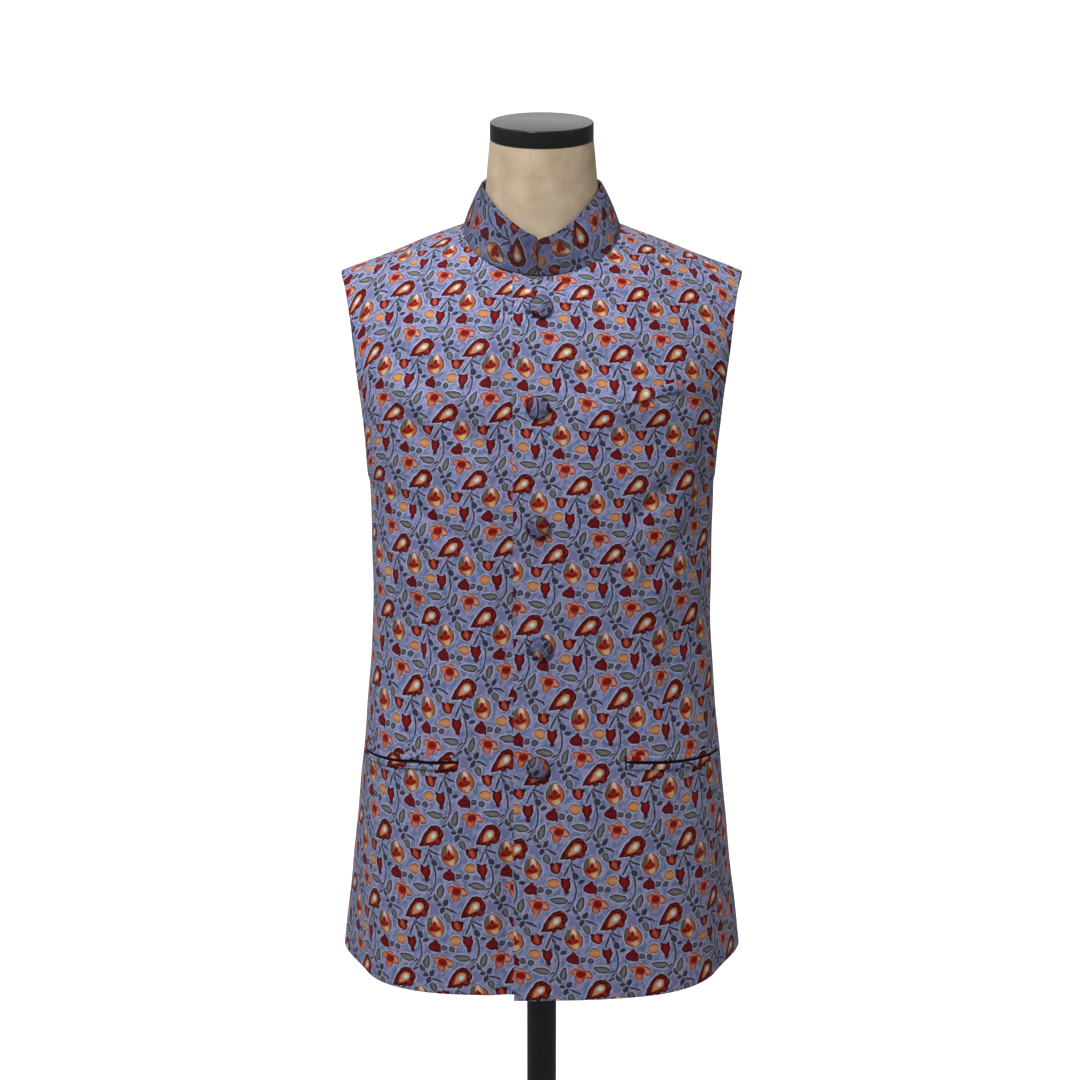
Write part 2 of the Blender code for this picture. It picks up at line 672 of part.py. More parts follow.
def make_stand(collection):
    """The black neck cap, the pole, the socket it stands in, and the round base under that."""
    turned_piece("neck_cap", (
        (0.0, CAP_TOP),
        (CAP_RADIUS - CAP_EDGE, CAP_TOP),
        (CAP_RADIUS, CAP_TOP - CAP_EDGE),
        (CAP_RADIUS, CAP_BOTTOM),
        (0.0, CAP_BOTTOM),
    ), TURN_STEPS, "cap_lacquer", collection)
    pole_low = HUB_HEIGHT + SEAM_GAP
    pole_high = FORM_SECTIONS[0][0] - FORM_EDGE_ROUND - SEAM_GAP
    turned_piece("pole", (
        (0.0, pole_high),
        (POLE_RADIUS, pole_high),
        (POLE_RADIUS, pole_low),
        (0.0, pole_low),
    ), TURN_STEPS // 2, "stand_metal", collection)
    socket_low = BASE_CROWN + SEAM_GAP
    turned_piece("pole_socket", (
        (0.0, HUB_HEIGHT),
        (HUB_RADIUS - HUB_EDGE, HUB_HEIGHT),
        (HUB_RADIUS, HUB_HEIGHT - HUB_EDGE),
        (HUB_RADIUS, socket_low + HUB_EDGE),
        (HUB_RADIUS + HUB_EDGE, socket_low),
        (0.0, socket_low),
    ), TURN_STEPS, "stand_metal", collection)
    turned_piece("base", (
        (0.0, BASE_CROWN),
        (HUB_RADIUS + HUB_EDGE, BASE_CROWN),
        (BASE_SHOULDER, BASE_SHOULDER_HEIGHT),
        (BASE_RADIUS - BASE_EDGE, BASE_RIM),
        (BASE_RADIUS, BASE_RIM - BASE_EDGE),
        (BASE_RADIUS, BASE_EDGE / 2),
        (BASE_RADIUS - BASE_EDGE / 2, 0.0),
        (0.0, 0.0),
    ), TURN_STEPS, "stand_metal", collection)


def build():
    for old in list(bpy.data.objects):
        bpy.data.objects.remove(old)
    collection = bpy.data.collections.new("nehru_jacket_on_dress_form")
    bpy.context.scene.collection.children.link(collection)
    left = front_left_rows()
    right = front_right_rows()
    cloth_wall("front_left", left, "printed_cloth", collection)
    cloth_wall("front_right", right, "printed_cloth", collection)
    cloth_wall("back", back_rows(), "printed_cloth", collection)
    make_collar(collection)
    make_buttons(collection)
    make_pockets(left, right, collection)
    make_form(collection)
    make_stand(collection)


build()
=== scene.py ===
"""A sleeveless nehru jacket of printed cotton, worn on a limbless dress form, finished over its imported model.

Metres, +Z up. The front of the jacket faces -Y, and the wearer's left front laps on top, on the +X side.
"""
import functools
import math

import bmesh
import bpy
from mathutils import Matrix, Vector


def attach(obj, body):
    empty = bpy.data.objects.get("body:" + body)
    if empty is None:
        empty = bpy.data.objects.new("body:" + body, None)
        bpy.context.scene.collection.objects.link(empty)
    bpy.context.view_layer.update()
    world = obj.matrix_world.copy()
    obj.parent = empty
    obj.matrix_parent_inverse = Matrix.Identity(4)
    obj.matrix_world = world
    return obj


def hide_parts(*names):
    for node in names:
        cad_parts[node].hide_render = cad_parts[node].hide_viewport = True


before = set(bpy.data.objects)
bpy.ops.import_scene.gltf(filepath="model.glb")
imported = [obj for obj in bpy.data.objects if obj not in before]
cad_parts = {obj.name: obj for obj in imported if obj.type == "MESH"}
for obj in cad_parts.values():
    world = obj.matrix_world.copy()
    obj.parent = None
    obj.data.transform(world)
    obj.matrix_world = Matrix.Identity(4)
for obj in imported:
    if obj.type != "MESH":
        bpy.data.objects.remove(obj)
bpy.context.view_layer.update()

# ---- The studio ----
# A plain white floor that runs back out of sight, broad soft lights from above, from both sides and from
# behind, a soft lamp high in front on the wearer's right, and a camera that looks a little down on the chest.
CAMERA_TILT = 18.24                          # degrees down
FLOOR_SIZE = 120.0
FLOOR_DROP = 0.0005
WHITE = (1.0, 1.0, 1.0, 1.0)
# Columns: name, strength, spread, height and turn in degrees, colour. The turn goes from straight in front
# towards the wearer's right.
SUNS = (
    ("top_light", 0.70, 40.0, 67.0, 34.0, WHITE[:3]),
    ("side_light", 0.30, 60.0, 25.0, -72.0, (1.0, 0.88, 0.78)),
    ("left_light", 0.44, 60.0, 12.0, 78.0, (0.95, 0.98, 1.0)),
    ("back_light", 0.70, 60.0, 38.0, 172.0, WHITE[:3]),
)


def place_object(name, data):
    """Make an object of some data and link it into the scene."""
    made = bpy.data.objects.new(name, data)
    bpy.context.scene.collection.objects.link(made)
    return made


camera_data = bpy.data.cameras.new("studio_camera")
camera_data.sensor_width = 36.0
camera_data.lens = 106.27
camera_data.clip_end = 400.0
camera = place_object("studio_camera", camera_data)
camera.location = (-0.0018, -3.157, 2.18)
camera.rotation_euler = (math.radians(90 - CAMERA_TILT), 0.0, 0.0)
bpy.context.scene.camera = camera
bpy.context.scene.view_settings.view_transform = "Standard"

for name, strength, spread, rise, turn, colour in SUNS:
    sun = bpy.data.lights.new(name, "SUN")
    sun.energy = strength
    sun.angle = math.radians(spread)
    sun.color = colour
    place_object(name, sun).rotation_euler = (math.radians(90 - rise), 0.0, math.radians(-turn))

soft_box = bpy.data.lights.new("soft_box", "AREA")
soft_box.energy = 14.8
soft_box.shape = "DISK"
soft_box.size = 0.30
soft_box.color = (0.94, 0.98, 1.07)
soft_box_stand = place_object("soft_box", soft_box)
soft_box_stand.location = (-0.55, -1.15, 2.45)
soft_box_aim = Vector((0.0, 0.0, 1.35)) - soft_box_stand.location
soft_box_stand.rotation_euler = soft_box_aim.to_track_quat("-Z", "Y").to_euler()


def feed(tree, node, *inputs):
    """Fill a node's inputs, given as pairs of a socket and a value, or an output to link."""
    for key, value in inputs:
        if isinstance(value, bpy.types.NodeSocket):
            tree.links.new(value, node.inputs[key])
        else:
            node.inputs[key].default_value = value


def add_node(tree, kind, *inputs, **settings):
    """Add a shader node of a kind, with its settings and its inputs."""
    made = tree.nodes.new("ShaderNode" + kind)
    for name, value in settings.items():
        setattr(made, name, value)
    feed(tree, made, *inputs)
    return made


def calculate(tree, operation, *values):
    """A Math node's output."""
    return add_node(tree, "Math", *enumerate(values), operation=operation).outputs[0]


def mix_colours(tree, amount, under, over, blend_type="MIX"):
    """A colour mixed over another by an amount."""
    inputs = ((0, amount), (6, under), (7, over))
    return add_node(tree, "Mix", *inputs, data_type="RGBA", blend_type=blend_type).outputs[2]


def vector_maths(tree, operation, *values):
    """A Vector Math node."""
    return add_node(tree, "VectorMath", *enumerate(values), operation=operation)


def spread_out(tree, value, low, high, *ends):
    """A value's share of the way from low to high, or from one end to the other."""
    return add_node(tree, "MapRange", *enumerate((value, low, high, *ends))).outputs[0]


def noise(tree, place, scale, detail, dimensions="3D"):
    """A Noise Texture node at a place."""
    inputs = (("Vector", place), ("Scale", scale), ("Detail", detail))
    return add_node(tree, "TexNoise", *inputs, noise_dimensions=dimensions)


def add_relief(tree, shader, height, strength, distance):
    """Relief on a shader, from a height."""
    bump = add_node(tree, "Bump", ("Height", height), ("Strength", strength), ("Distance", distance))
    feed(tree, shader, ("Normal", bump.outputs[0]))


def srgb(red, green, blue):
    """A colour from 0-255 values to the shader's linear ones."""
    linear = []
    for value in (red, green, blue):
        share = value / 255
        linear.append(share / 12.92 if share <= 0.04045 else ((share + 0.055) / 1.055) ** 2.4)
    return (*linear, 1.0)


def new_material(name):
    """A node material; returns it, its tree and its Principled shader."""
    material = bpy.data.materials.new(name)
    material.use_nodes = True
    return material, material.node_tree, material.node_tree.nodes["Principled BSDF"]


world = bpy.data.worlds.new("studio_room")
bpy.context.scene.world = world
world.use_nodes = True
room_tree = world.node_tree
room_rays = add_node(room_tree, "LightPath")
room_glow = calculate(room_tree, "MULTIPLY_ADD", room_rays.outputs["Is Camera Ray"], 0.75, 0.25)
feed(room_tree, room_tree.nodes["Background"], ("Color", WHITE), ("Strength", room_glow))

floor_mesh = bpy.data.meshes.new("studio_floor")
floor_work = bmesh.new()
bmesh.ops.create_grid(floor_work, x_segments=8, y_segments=8, size=FLOOR_SIZE / 2)
floor_work.to_mesh(floor_mesh)
floor_work.free()
floor = place_object("studio_floor", floor_mesh)
floor.location = (0.0, 0.0, -FLOOR_DROP)
floor_paint, floor_tree, floor_shader = new_material("floor_paint")
floor_ray = add_node(floor_tree, "LightPath").outputs["Is Camera Ray"]
floor_cloud = add_node(floor_tree, "TexNoise", ("Scale", 0.8), ("Detail", 4.0)).outputs["Fac"]
floor_white = mix_colours(floor_tree, floor_cloud, (0.93, 0.93, 0.93, 1.0), (0.96, 0.96, 0.96, 1.0))
feed(
    floor_tree, floor_shader,
    ("Base Color", mix_colours(floor_tree, floor_ray, (0.20, 0.20, 0.20, 1.0), floor_white)),
    ("Roughness", 0.9),
    ("Emission Color", WHITE),
    ("Emission Strength", calculate(floor_tree, "MULTIPLY", floor_ray, 0.60)),
)
floor_mesh.materials.append(floor_paint)


# ---- The stand ----
# A low domed steel base with a rounded rim, a socket with a clamping screw, and a tube that carries the form.
# All of it is painted in one satin black coat that is a little rubbed at its edges.
POLE_RADIUS = 0.0160
POLE_BOTTOM = 0.0453
POLE_TOP = 0.7487
SOCKET_RADIUS = 0.0300
SOCKET_BOTTOM = 0.0143
SOCKET_TOP = 0.0450
BASE_RADIUS = 0.1800
BASE_CROWN = 0.0140
TURNED_STEPS = 96


def turned(name, profile, steps=TURNED_STEPS):
    """A turned solid about Z: a profile of (radius, height) that runs down its outer side, axis to axis."""
    work = bmesh.new()
    rings = []
    for radius, height in profile:
        if radius == 0:
            rings.append([work.verts.new((0.0, 0.0, height))] * steps)
            continue
        ring = []
        for step in range(steps):
            angle = 2 * math.pi * step / steps
            ring.append(work.verts.new((radius * math.cos(angle), radius * math.sin(angle), height)))
        rings.append(ring)
    for upper, lower in zip(rings, rings[1:]):
        for step in range(steps):
            after = (step + 1) % steps
            corners = []
            for corner in (upper[step], lower[step], lower[after], upper[after]):
                if corner not in corners:
                    corners.append(corner)
            work.faces.new(corners)
    mesh = bpy.data.meshes.new(name)
    work.to_mesh(mesh)
    work.free()
    mesh.shade_smooth()
    return place_object(name, mesh)


def rounded_corner(radius, height, size, start, end, steps=5):
    """Points of a rounded corner about a centre, from one angle to another, in degrees from level outward."""
    points = []
    for step in range(steps + 1):
        angle = math.radians(start + (end - start) * step / steps)
        points.append((radius + size * math.cos(angle), height + size * math.sin(angle)))
    return points


def finish_piece(piece, slot, *nodes):
    """A piece rides with the frame and stands for its solids, whose parts it hides; its slot is not used."""
    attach(piece, "root")
    if nodes:
        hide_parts(*nodes)


def new_group(name, inputs, outputs):
    """A shader node group with named sockets; returns its tree, its inputs and its output node."""
    tree = bpy.data.node_groups.new(name, "ShaderNodeTree")
    for label, kind, value in inputs:
        socket = tree.interface.new_socket(label, in_out="INPUT", socket_type=kind)
        socket.default_value = value
    for label, kind in outputs:
        tree.interface.new_socket(label, in_out="OUTPUT", socket_type=kind)
    return tree, tree.nodes.new("NodeGroupInput").outputs, tree.nodes.new("NodeGroupOutput")


FLOAT = "NodeSocketFloat"
COLOUR = "NodeSocketColor"
VECTOR = "NodeSocketVector"

# A sprayed satin coat: a slight orange peel, dull patches and paler rubbed edges.
RUBBED_EDGES = (0.52, 0.60)      # how sharp an edge is where it starts to be rubbed, and where it wholly is
DULL_SPREAD = 0.16               # how much the roughness varies
satin_tree, satin_in, satin_out = new_group(
    "satin_coat",
    (
        ("Place", VECTOR, (0, 0, 0)), ("Sharpness", FLOAT, 0.5), ("Colour", COLOUR, (0, 0, 0, 1)),
        ("Rubbed", COLOUR, (0, 0, 0, 1)), ("Roughness", FLOAT, 0.3), ("Grain", FLOAT, 500.0),
    ),
    (("Colour", COLOUR), ("Roughness", FLOAT), ("Height", FLOAT)),
)
satin_maths = functools.partial(calculate, satin_tree)
satin_peel = noise(satin_tree, satin_in["Place"], satin_in["Grain"], 2.0).outputs["Fac"]
satin_cloud = noise(satin_tree, satin_in["Place"], 14.0, 4.0).outputs["Fac"]
satin_edges = spread_out(satin_tree, satin_in["Sharpness"], *RUBBED_EDGES)
satin_scuffed = satin_maths("MULTIPLY", satin_edges, satin_cloud)
satin_low = satin_maths("SUBTRACT", satin_in["Roughness"], DULL_SPREAD / 2)
satin_dull = satin_maths("MULTIPLY_ADD", satin_cloud, DULL_SPREAD, satin_low)
satin_colour = mix_colours(satin_tree, satin_scuffed, satin_in["Colour"], satin_in["Rubbed"])
feed(satin_tree, satin_out, ("Colour", satin_colour), ("Roughness", satin_dull), ("Height", satin_peel))


def satin_paint(name, colour, roughness, grain):
    """A material sprayed with the satin coat."""
    material, tree, shader = new_material(name)
    coat = add_node(
        tree, "Group",
        ("Place", add_node(tree, "TexCoord").outputs["Object"]),
        ("Sharpness", add_node(tree, "NewGeometry").outputs["Pointiness"]),
        ("Colour", colour),
        ("Rubbed", tuple(min(value * 3 + 0.03, 1.0) for value in colour[:3]) + (1.0,)),
        ("Roughness", roughness),
        ("Grain", grain),
        node_tree=satin_tree,
    ).outputs
    feed(tree, shader, ("Base Color", coat["Colour"]), ("Roughness", coat["Roughness"]))
    add_relief(tree, shader, coat["Height"], 0.12, 0.0004)
    return material


stand_paint = satin_paint("stand_paint", (0.020, 0.020, 0.022, 1.0), 0.34, 900.0)

pole = turned("stand_pole", (
    [(0.0, POLE_TOP)]
    + rounded_corner(POLE_RADIUS - 0.0008, POLE_TOP - 0.0008, 0.0008, 90, 0, 3)
    + [(POLE_RADIUS, 0.40), (POLE_RADIUS, POLE_BOTTOM), (0.0, POLE_BOTTOM)]
))
pole.data.materials.append(stand_paint)
finish_piece(pole, "stand_metal", "pole")

socket = turned("stand_socket", (
    [(0.0, SOCKET_TOP), (POLE_RADIUS + 0.0006, SOCKET_TOP)]
    + rounded_corner(SOCKET_RADIUS - 0.0030, SOCKET_TOP - 0.0030, 0.0030, 90, 0)
    + [(SOCKET_RADIUS, SOCKET_BOTTOM + 0.0040)]
    + [(SOCKET_RADIUS + 0.0010, SOCKET_BOTTOM + 0.0012), (SOCKET_RADIUS + 0.0030, SOCKET_BOTTOM)]
    + [(0.0, SOCKET_BOTTOM)]
))
socket.data.materials.append(stand_paint)
finish_piece(socket, "stand_metal", "pole_socket")

screw_head = turned("stand_socket_screw", (
    [(0.0, 0.0020), (0.0022, 0.0020), (0.0024, 0.0034), (0.0040, 0.0034)]
    + rounded_corner(0.0042, 0.0026, 0.0008, 90, 0, 3)
    + [(0.0050, 0.0), (0.0, 0.0)]
), 24)
screw_head.rotation_euler = (math.radians(90), 0.0, 0.0)
screw_head.location = (0.0, -SOCKET_RADIUS + 0.0006, 0.031)
screw_head.data.materials.append(stand_paint)
finish_piece(screw_head, "stand_metal")

base = turned("stand_base", (
    [(0.0, BASE_CROWN), (0.0330, BASE_CROWN), (0.060, 0.0137), (0.085, 0.0129), (0.1080, 0.0119)]
    + [(0.1400, 0.0097), (0.1660, 0.0079), (0.1770, 0.0071)]
    + rounded_corner(0.1780, 0.0050, 0.0020, 85, 0)
    + [(BASE_RADIUS, 0.0012)]
    + rounded_corner(0.1790, 0.0010, 0.0010, 0, -90, 3)
    + [(0.0, 0.0)]
), 128)
base.data.materials.append(stand_paint)
finish_piece(base, "stand_metal", "base")


# ---- The dress form ----
# A moulded torso without limbs, covered in natural linen that is sewn in tight panels, one in front and four
# behind. Their seams run down each side, over each shoulder blade and down the back. A black lacquered cap
# closes the neck.
# Columns: height, half width, depth in front, depth behind, squareness.
FORM_SECTIONS = (
    (0.755, 0.158, 0.100, 0.092, 2.30),
    (0.800, 0.167, 0.107, 0.099, 2.30),
    (0.880, 0.171, 0.110, 0.100, 2.30),
    (0.960, 0.164, 0.106, 0.089, 2.30),
    (1.060, 0.153, 0.102, 0.077, 2.30),
    (1.130, 0.155, 0.107, 0.079, 2.30),
    (1.210, 0.163, 0.111, 0.087, 2.40),
    (1.300, 0.171, 0.107, 0.094, 2.40),
    (1.360, 0.173, 0.093, 0.093, 2.30),
    (1.395, 0.172, 0.079, 0.084, 2.10),
    (1.415, 0.166, 0.069, 0.075, 1.90),
    (1.430, 0.150, 0.060, 0.067, 1.70),
    (1.444, 0.118, 0.053, 0.060, 1.65),
    (1.456, 0.088, 0.050, 0.055, 1.70),
    (1.470, 0.066, 0.0480, 0.0525, 1.90),
    (1.490, 0.0590, 0.0485, 0.0505, 2.00),
    (1.516, 0.0565, 0.0505, 0.0505, 2.00),
    (1.545, 0.0540, 0.0520, 0.0520, 2.00),
    (1.5620, 0.0523, 0.0523, 0.0523, 2.00),
)
FORM_RINGS = 150
FORM_POINTS = 144
FORM_UNDERSIDE = ((0.30, 0.0060), (0.93, 0.0060), (0.965, 0.0052), (0.985, 0.0032), (0.996, 0.0014))
FORM_SEAMS = (90.0, 142.0, 180.0, 218.0, 270.0)   # degrees round from the centre front
FORM_SEAM_SIDES = (-1.2, -0.5, 0.5, 1.2)          # and how far to its sides a seam has points of its own
FORM_SEAM_DEPTH = 0.0006
FORM_SEAM_WIDTH = 0.0022


def read_table(rows, height):
    """Read every column of a table of sections at a height, along a smooth curve through its rows."""
    height = min(max(height, rows[0][0]), rows[-1][0])
    upper = 1
    while rows[upper][0] < height and upper < len(rows) - 1:
        upper += 1
    before = rows[max(upper - 2, 0)]
    low = rows[upper - 1]
    high = rows[upper]
    after = rows[min(upper + 1, len(rows) - 1)]
    span = high[0] - low[0]
    t = (height - low[0]) / span
    values = []
    for column in range(1, len(low)):
        slope_low = (high[column] - before[column]) / (high[0] - before[0]) * span
        slope_high = (after[column] - low[column]) / (after[0] - low[0]) * span
        rise = high[column] - low[column]
        bend = slope_low + slope_high - 2 * rise
        lean = 3 * rise - 2 * slope_low - slope_high
        values.append(low[column] + slope_low * t + lean * t ** 2 + bend * t ** 3)
    return values


def cloth_mesh(name, rows, closed=False):
    """A mesh through rows of points that go up, each anticlockwise seen from above, so that it faces out."""
    count = len(rows[0])
    points = [point for row in rows for point in row]
    faces = []
    for row in range(len(rows) - 1):
        for index in range(count if closed else count - 1):
            after = (index + 1) % count
            low = row * count
            faces.append((low + index, low + after, low + count + after, low + count + index))
    mesh = bpy.data.meshes.new(name)
    mesh.from_pydata([tuple(point) for point in points], [], faces)
    mesh.update()
    mesh.shade_smooth()
    return mesh


def lay_cloth_map(mesh, name, places):
    """A map of the flat cloth: one (across, up) pair for each vertex, in metres or in repeats."""
    layer = mesh.uv_layers.new(name=name)
    for loop in mesh.loops:
        layer.data[loop.index].uv = places[loop.vertex_index]


def form_point(height, angle):
    """A point of the linen, sunk a little along each of its seams."""
    half_width, front, back, squareness = read_table(FORM_SECTIONS, height)
    power = 2 / squareness
    sine, cosine = math.sin(angle), -math.cos(angle)
    depth = front if cosine < 0 else back
    x = half_width * math.copysign(abs(sine) ** power, sine)
    y = depth * math.copysign(abs(cosine) ** power, cosine)
    sunk = 0.0
    for seam in FORM_SEAMS:
        away = abs((math.degrees(angle) - seam + 180) % 360 - 180) * math.radians(1) * math.hypot(x, y)
        sunk = max(sunk, FORM_SEAM_DEPTH * math.exp(-(away / FORM_SEAM_WIDTH) ** 2))
    shrink = 1 - sunk / math.hypot(x, y)
    return Vector((x * shrink, y * shrink, height))


form_low, form_high = FORM_SECTIONS[0][0], FORM_SECTIONS[-1][0]
form_angles = []
for step in range(FORM_POINTS):
    form_angles.append(2 * math.pi * step / FORM_POINTS)
for seam in FORM_SEAMS:
    for side in FORM_SEAM_SIDES:
        form_angles.append(math.radians(seam + side) % (2 * math.pi))
form_angles.sort()
form_rows = []
form_edge = [form_point(form_low, angle) for angle in form_angles]
for share, drop in FORM_UNDERSIDE:
    form_rows.append([Vector((p.x * share, p.y * share, form_low - drop)) for p in form_edge])
for step in range(FORM_RINGS + 1):
    height = form_low + (form_high - form_low) * step / FORM_RINGS
    form_rows.append([form_point(height, angle) for angle in form_angles])
form_mesh = cloth_mesh("form_torso", form_rows, closed=True)
form_work = bmesh.new()
form_work.from_mesh(form_mesh)
form_work.verts.ensure_lookup_table()
form_count = len(form_angles)
form_work.faces.new(list(reversed(form_work.verts[:form_count])))
form_work.faces.new(form_work.verts[-form_count:])
form_work.to_mesh(form_mesh)
form_work.free()
form = place_object("form_torso", form_mesh)


# Plain weave: each thread goes over one and under one. The group gives its relief and each thread's shade.
SLUB_STRETCHES = ((1400.0, 60.0, 60.0), (60.0, 1400.0, 60.0))     # finer across a thread than along it
weave_tree, weave_in, weave_out = new_group(
    "plain_weave", (("Place", VECTOR, (0, 0, 0)), ("Threads", FLOAT, 1000.0), ("Slub", FLOAT, 0.5)),
    (("Height", FLOAT), ("Shade", FLOAT)),
)
weave_maths = functools.partial(calculate, weave_tree)
weave_split = add_node(weave_tree, "SeparateXYZ", (0, weave_in["Place"]))
weave_turns = weave_maths("MULTIPLY", weave_in["Threads"], math.pi)
warp_wave, weft_wave = (
    weave_maths("SINE", weave_maths("MULTIPLY", weave_split.outputs[way], weave_turns)) for way in (0, 1)
)
weave_knots = weave_maths("ABSOLUTE", weave_maths("MULTIPLY", warp_wave, weft_wave))
warp_place, weft_place = (
    vector_maths(weave_tree, "MULTIPLY", weave_in["Place"], stretch).outputs[0] for stretch in SLUB_STRETCHES
)
warp_slub, weft_slub = (noise(weave_tree, place, 1.0, 2.0, "2D") for place in (warp_place, weft_place))
slubs = weave_maths("ADD", warp_slub.outputs["Fac"], weft_slub.outputs["Fac"])
weave_height = weave_maths("ADD", weave_knots, weave_maths("MULTIPLY", slubs, weave_in["Slub"]))
feed(weave_tree, weave_out, ("Height", weave_height), ("Shade", weave_maths("MULTIPLY", slubs, 0.5)))


def weave_node(tree, place, threads, slub):
    """The weave group placed in a material."""
    inputs = (("Place", place), ("Threads", threads), ("Slub", slub))
    return add_node(tree, "Group", *inputs, node_tree=weave_tree)


def flat_place(tree, name):
    """Where a point lies on one of its maps of the flat cloth."""
    return add_node(tree, "UVMap", uv_map=name).outputs[0]


linen, linen_tree, linen_shader = new_material("natural_linen")
linen_place = flat_place(linen_tree, "cloth")
linen_weave = weave_node(linen_tree, linen_place, 900.0, 1.2)
linen_cloud = noise(linen_tree, linen_place, 34.0, 6.0).outputs["Fac"]
linen_mottle = spread_out(linen_tree, linen_cloud, 0.34, 0.66)
linen_base = mix_colours(linen_tree, linen_mottle, srgb(230, 208, 176), srgb(204, 179, 145))
linen_low = mix_colours(linen_tree, 0.30, linen_base, srgb(176, 150, 112))
linen_threads = spread_out(linen_tree, linen_weave.outputs["Shade"], 0.3, 0.7)
feed(
    linen_tree, linen_shader,
    ("Base Color", mix_colours(linen_tree, linen_threads, linen_low, linen_base)),
    ("Roughness", 0.85),
    ("Sheen Weight", 0.12),
    ("Sheen Roughness", 0.5),
)
add_relief(linen_tree, linen_shader, linen_weave.outputs["Height"], 0.35, 0.0003)
form_places = []
for vertex in form_mesh.vertices:
    around = math.atan2(vertex.co.x, -vertex.co.y) * math.hypot(vertex.co.x, vertex.co.y)
    form_places.append((around, vertex.co.z))
lay_cloth_map(form_mesh, "cloth", form_places)
form_mesh.materials.append(linen)
form_mesh.set_sharp_from_angle(angle=math.radians(50))
finish_piece(form, "linen", "form_body")

CAP_RADIUS = 0.0520
CAP_BOTTOM = 1.5623
CAP_TOP = 1.5800
cap = turned("form_neck_cap", (
    [(0.0, CAP_TOP - 0.0004), (CAP_RADIUS - 0.0050, CAP_TOP - 0.0003)]
    + [(CAP_RADIUS - 0.0030, CAP_TOP - 0.0001)]
    + rounded_corner(CAP_RADIUS - 0.0016, CAP_TOP - 0.0016, 0.0016, 90, 0)
    + [(CAP_RADIUS, CAP_BOTTOM + 0.0012)]
    + rounded_corner(CAP_RADIUS - 0.0010, CAP_BOTTOM + 0.0010, 0.0010, 0, -90, 3)
    + [(0.0, CAP_BOTTOM)]
))
cap.data.materials.append(satin_paint("cap_lacquer", (0.012, 0.011, 0.010, 1.0), 0.22, 500.0))
finish_piece(cap, "cap_lacquer", "neck_cap")


# ---- The printed cotton ----
# Light cotton with a small floral repeat, printed in maroon, orange, peach, olive and slate on a periwinkle
# ground. One repeat leans, so that each row of it steps to the left of the one above.
REPEAT_ACROSS = Vector((0.0573, 0.0003))     # metres of cloth, across and up
REPEAT_DOWN = Vector((-0.0240, -0.0745))
MAROON = srgb(78, 4, 12)
RED = srgb(144, 20, 18)
DARK_RED = srgb(116, 5, 22)
BRICK = srgb(172, 60, 42)
ORANGE = srgb(210, 120, 84)
BERRY = srgb(218, 146, 100)
PEACH = srgb(230, 172, 138)
CREAM = srgb(228, 200, 146)
OLIVE_GREY = srgb(118, 118, 116)
SAGE = srgb(148, 144, 132)
SLATE = srgb(60, 62, 86)
LAVENDER = srgb(134, 136, 184)
HALO = srgb(208, 204, 228)
GROUND_BLUE = srgb(110, 131, 176)
GROUND_VIOLET = srgb(168, 165, 209)
ALL_SLATE = (SLATE, SLATE, SLATE)
ALL_MAROON = (MAROON, MAROON, MAROON)
ALL_DARK_RED = (MAROON, DARK_RED, DARK_RED)
GREY_LEAF = (SLATE, srgb(92, 98, 110), OLIVE_GREY)

# Where a motif's parts begin, in millimetres inward from its outline, each from nothing to whole.
PALE_RING = (-2.1, -0.8)
OUTLINE = (-0.35, 0.25)
FILL_EDGE = (-0.6, 0.6)
HEART_EDGE = (-1.0, 1.0)

motif_tree, motif_in, motif_out = new_group(
    "printed_motif",
    (
        ("Under", COLOUR, (1, 1, 1, 1)), ("Cell", VECTOR, (0, 0, 0)), ("Centre", VECTOR, (0, 0, 0)),
        ("Along", VECTOR, (0, 0, 0)), ("Across", VECTOR, (0, 0, 0)), ("Half Length", FLOAT, 5.0),
        ("Half Width", FLOAT, 5.0), ("Tip", FLOAT, 0.5), ("Tail", FLOAT, 0.5), ("Fullness", FLOAT, 1.0),
        ("Bend", FLOAT, 0.0), ("Halo", FLOAT, 0.7), ("Rim", FLOAT, 1.0), ("Heart", FLOAT, 3.0),
        ("Rim Colour", COLOUR, (0, 0, 0, 1)),
        ("Fill Colour", COLOUR, (0, 0, 0, 1)), ("Heart Colour", COLOUR, (0, 0, 0, 1)),
    ),
    (("Colour", COLOUR),),
)


def soft_step(tree, value, low, high):
    """0 below low, 1 above high, smooth between."""
    inputs = ((0, value), (1, low), (2, high))
    return add_node(tree, "MapRange", *inputs, interpolation_type="SMOOTHSTEP").outputs[0]


motif_maths = functools.partial(calculate, motif_tree)
motif_step = functools.partial(soft_step, motif_tree)
motif_mix = functools.partial(mix_colours, motif_tree)
motif_off = vector_maths(motif_tree, "SUBTRACT", motif_in["Cell"], motif_in["Centre"]).outputs[0]
motif_near = vector_maths(motif_tree, "WRAP", motif_off, (0.5, 0.5, 0.5), (-0.5, -0.5, -0.5)).outputs[0]
motif_along = vector_maths(motif_tree, "DOT_PRODUCT", motif_near, motif_in["Along"]).outputs["Value"]
motif_across = vector_maths(motif_tree, "DOT_PRODUCT", motif_near, motif_in["Across"]).outputs["Value"]
motif_square = motif_maths("MULTIPLY", motif_along, motif_along)
motif_bent = motif_maths("MULTIPLY_ADD", motif_square, motif_in["Bend"], motif_across)
motif_ahead = motif_maths("MAXIMUM", motif_maths("SUBTRACT", 1.0, motif_along), 0.0)
motif_behind = motif_maths("MAXIMUM", motif_maths("ADD", 1.0, motif_along), 0.0)
motif_tip = motif_maths("POWER", motif_ahead, motif_in["Tip"])
motif_tail = motif_maths("POWER", motif_behind, motif_in["Tail"])
motif_width = motif_maths("MULTIPLY", motif_maths("MULTIPLY", motif_tip, motif_tail), motif_in["Fullness"])
motif_inside = motif_maths("SUBTRACT", motif_width, motif_maths("ABSOLUTE", motif_bent))
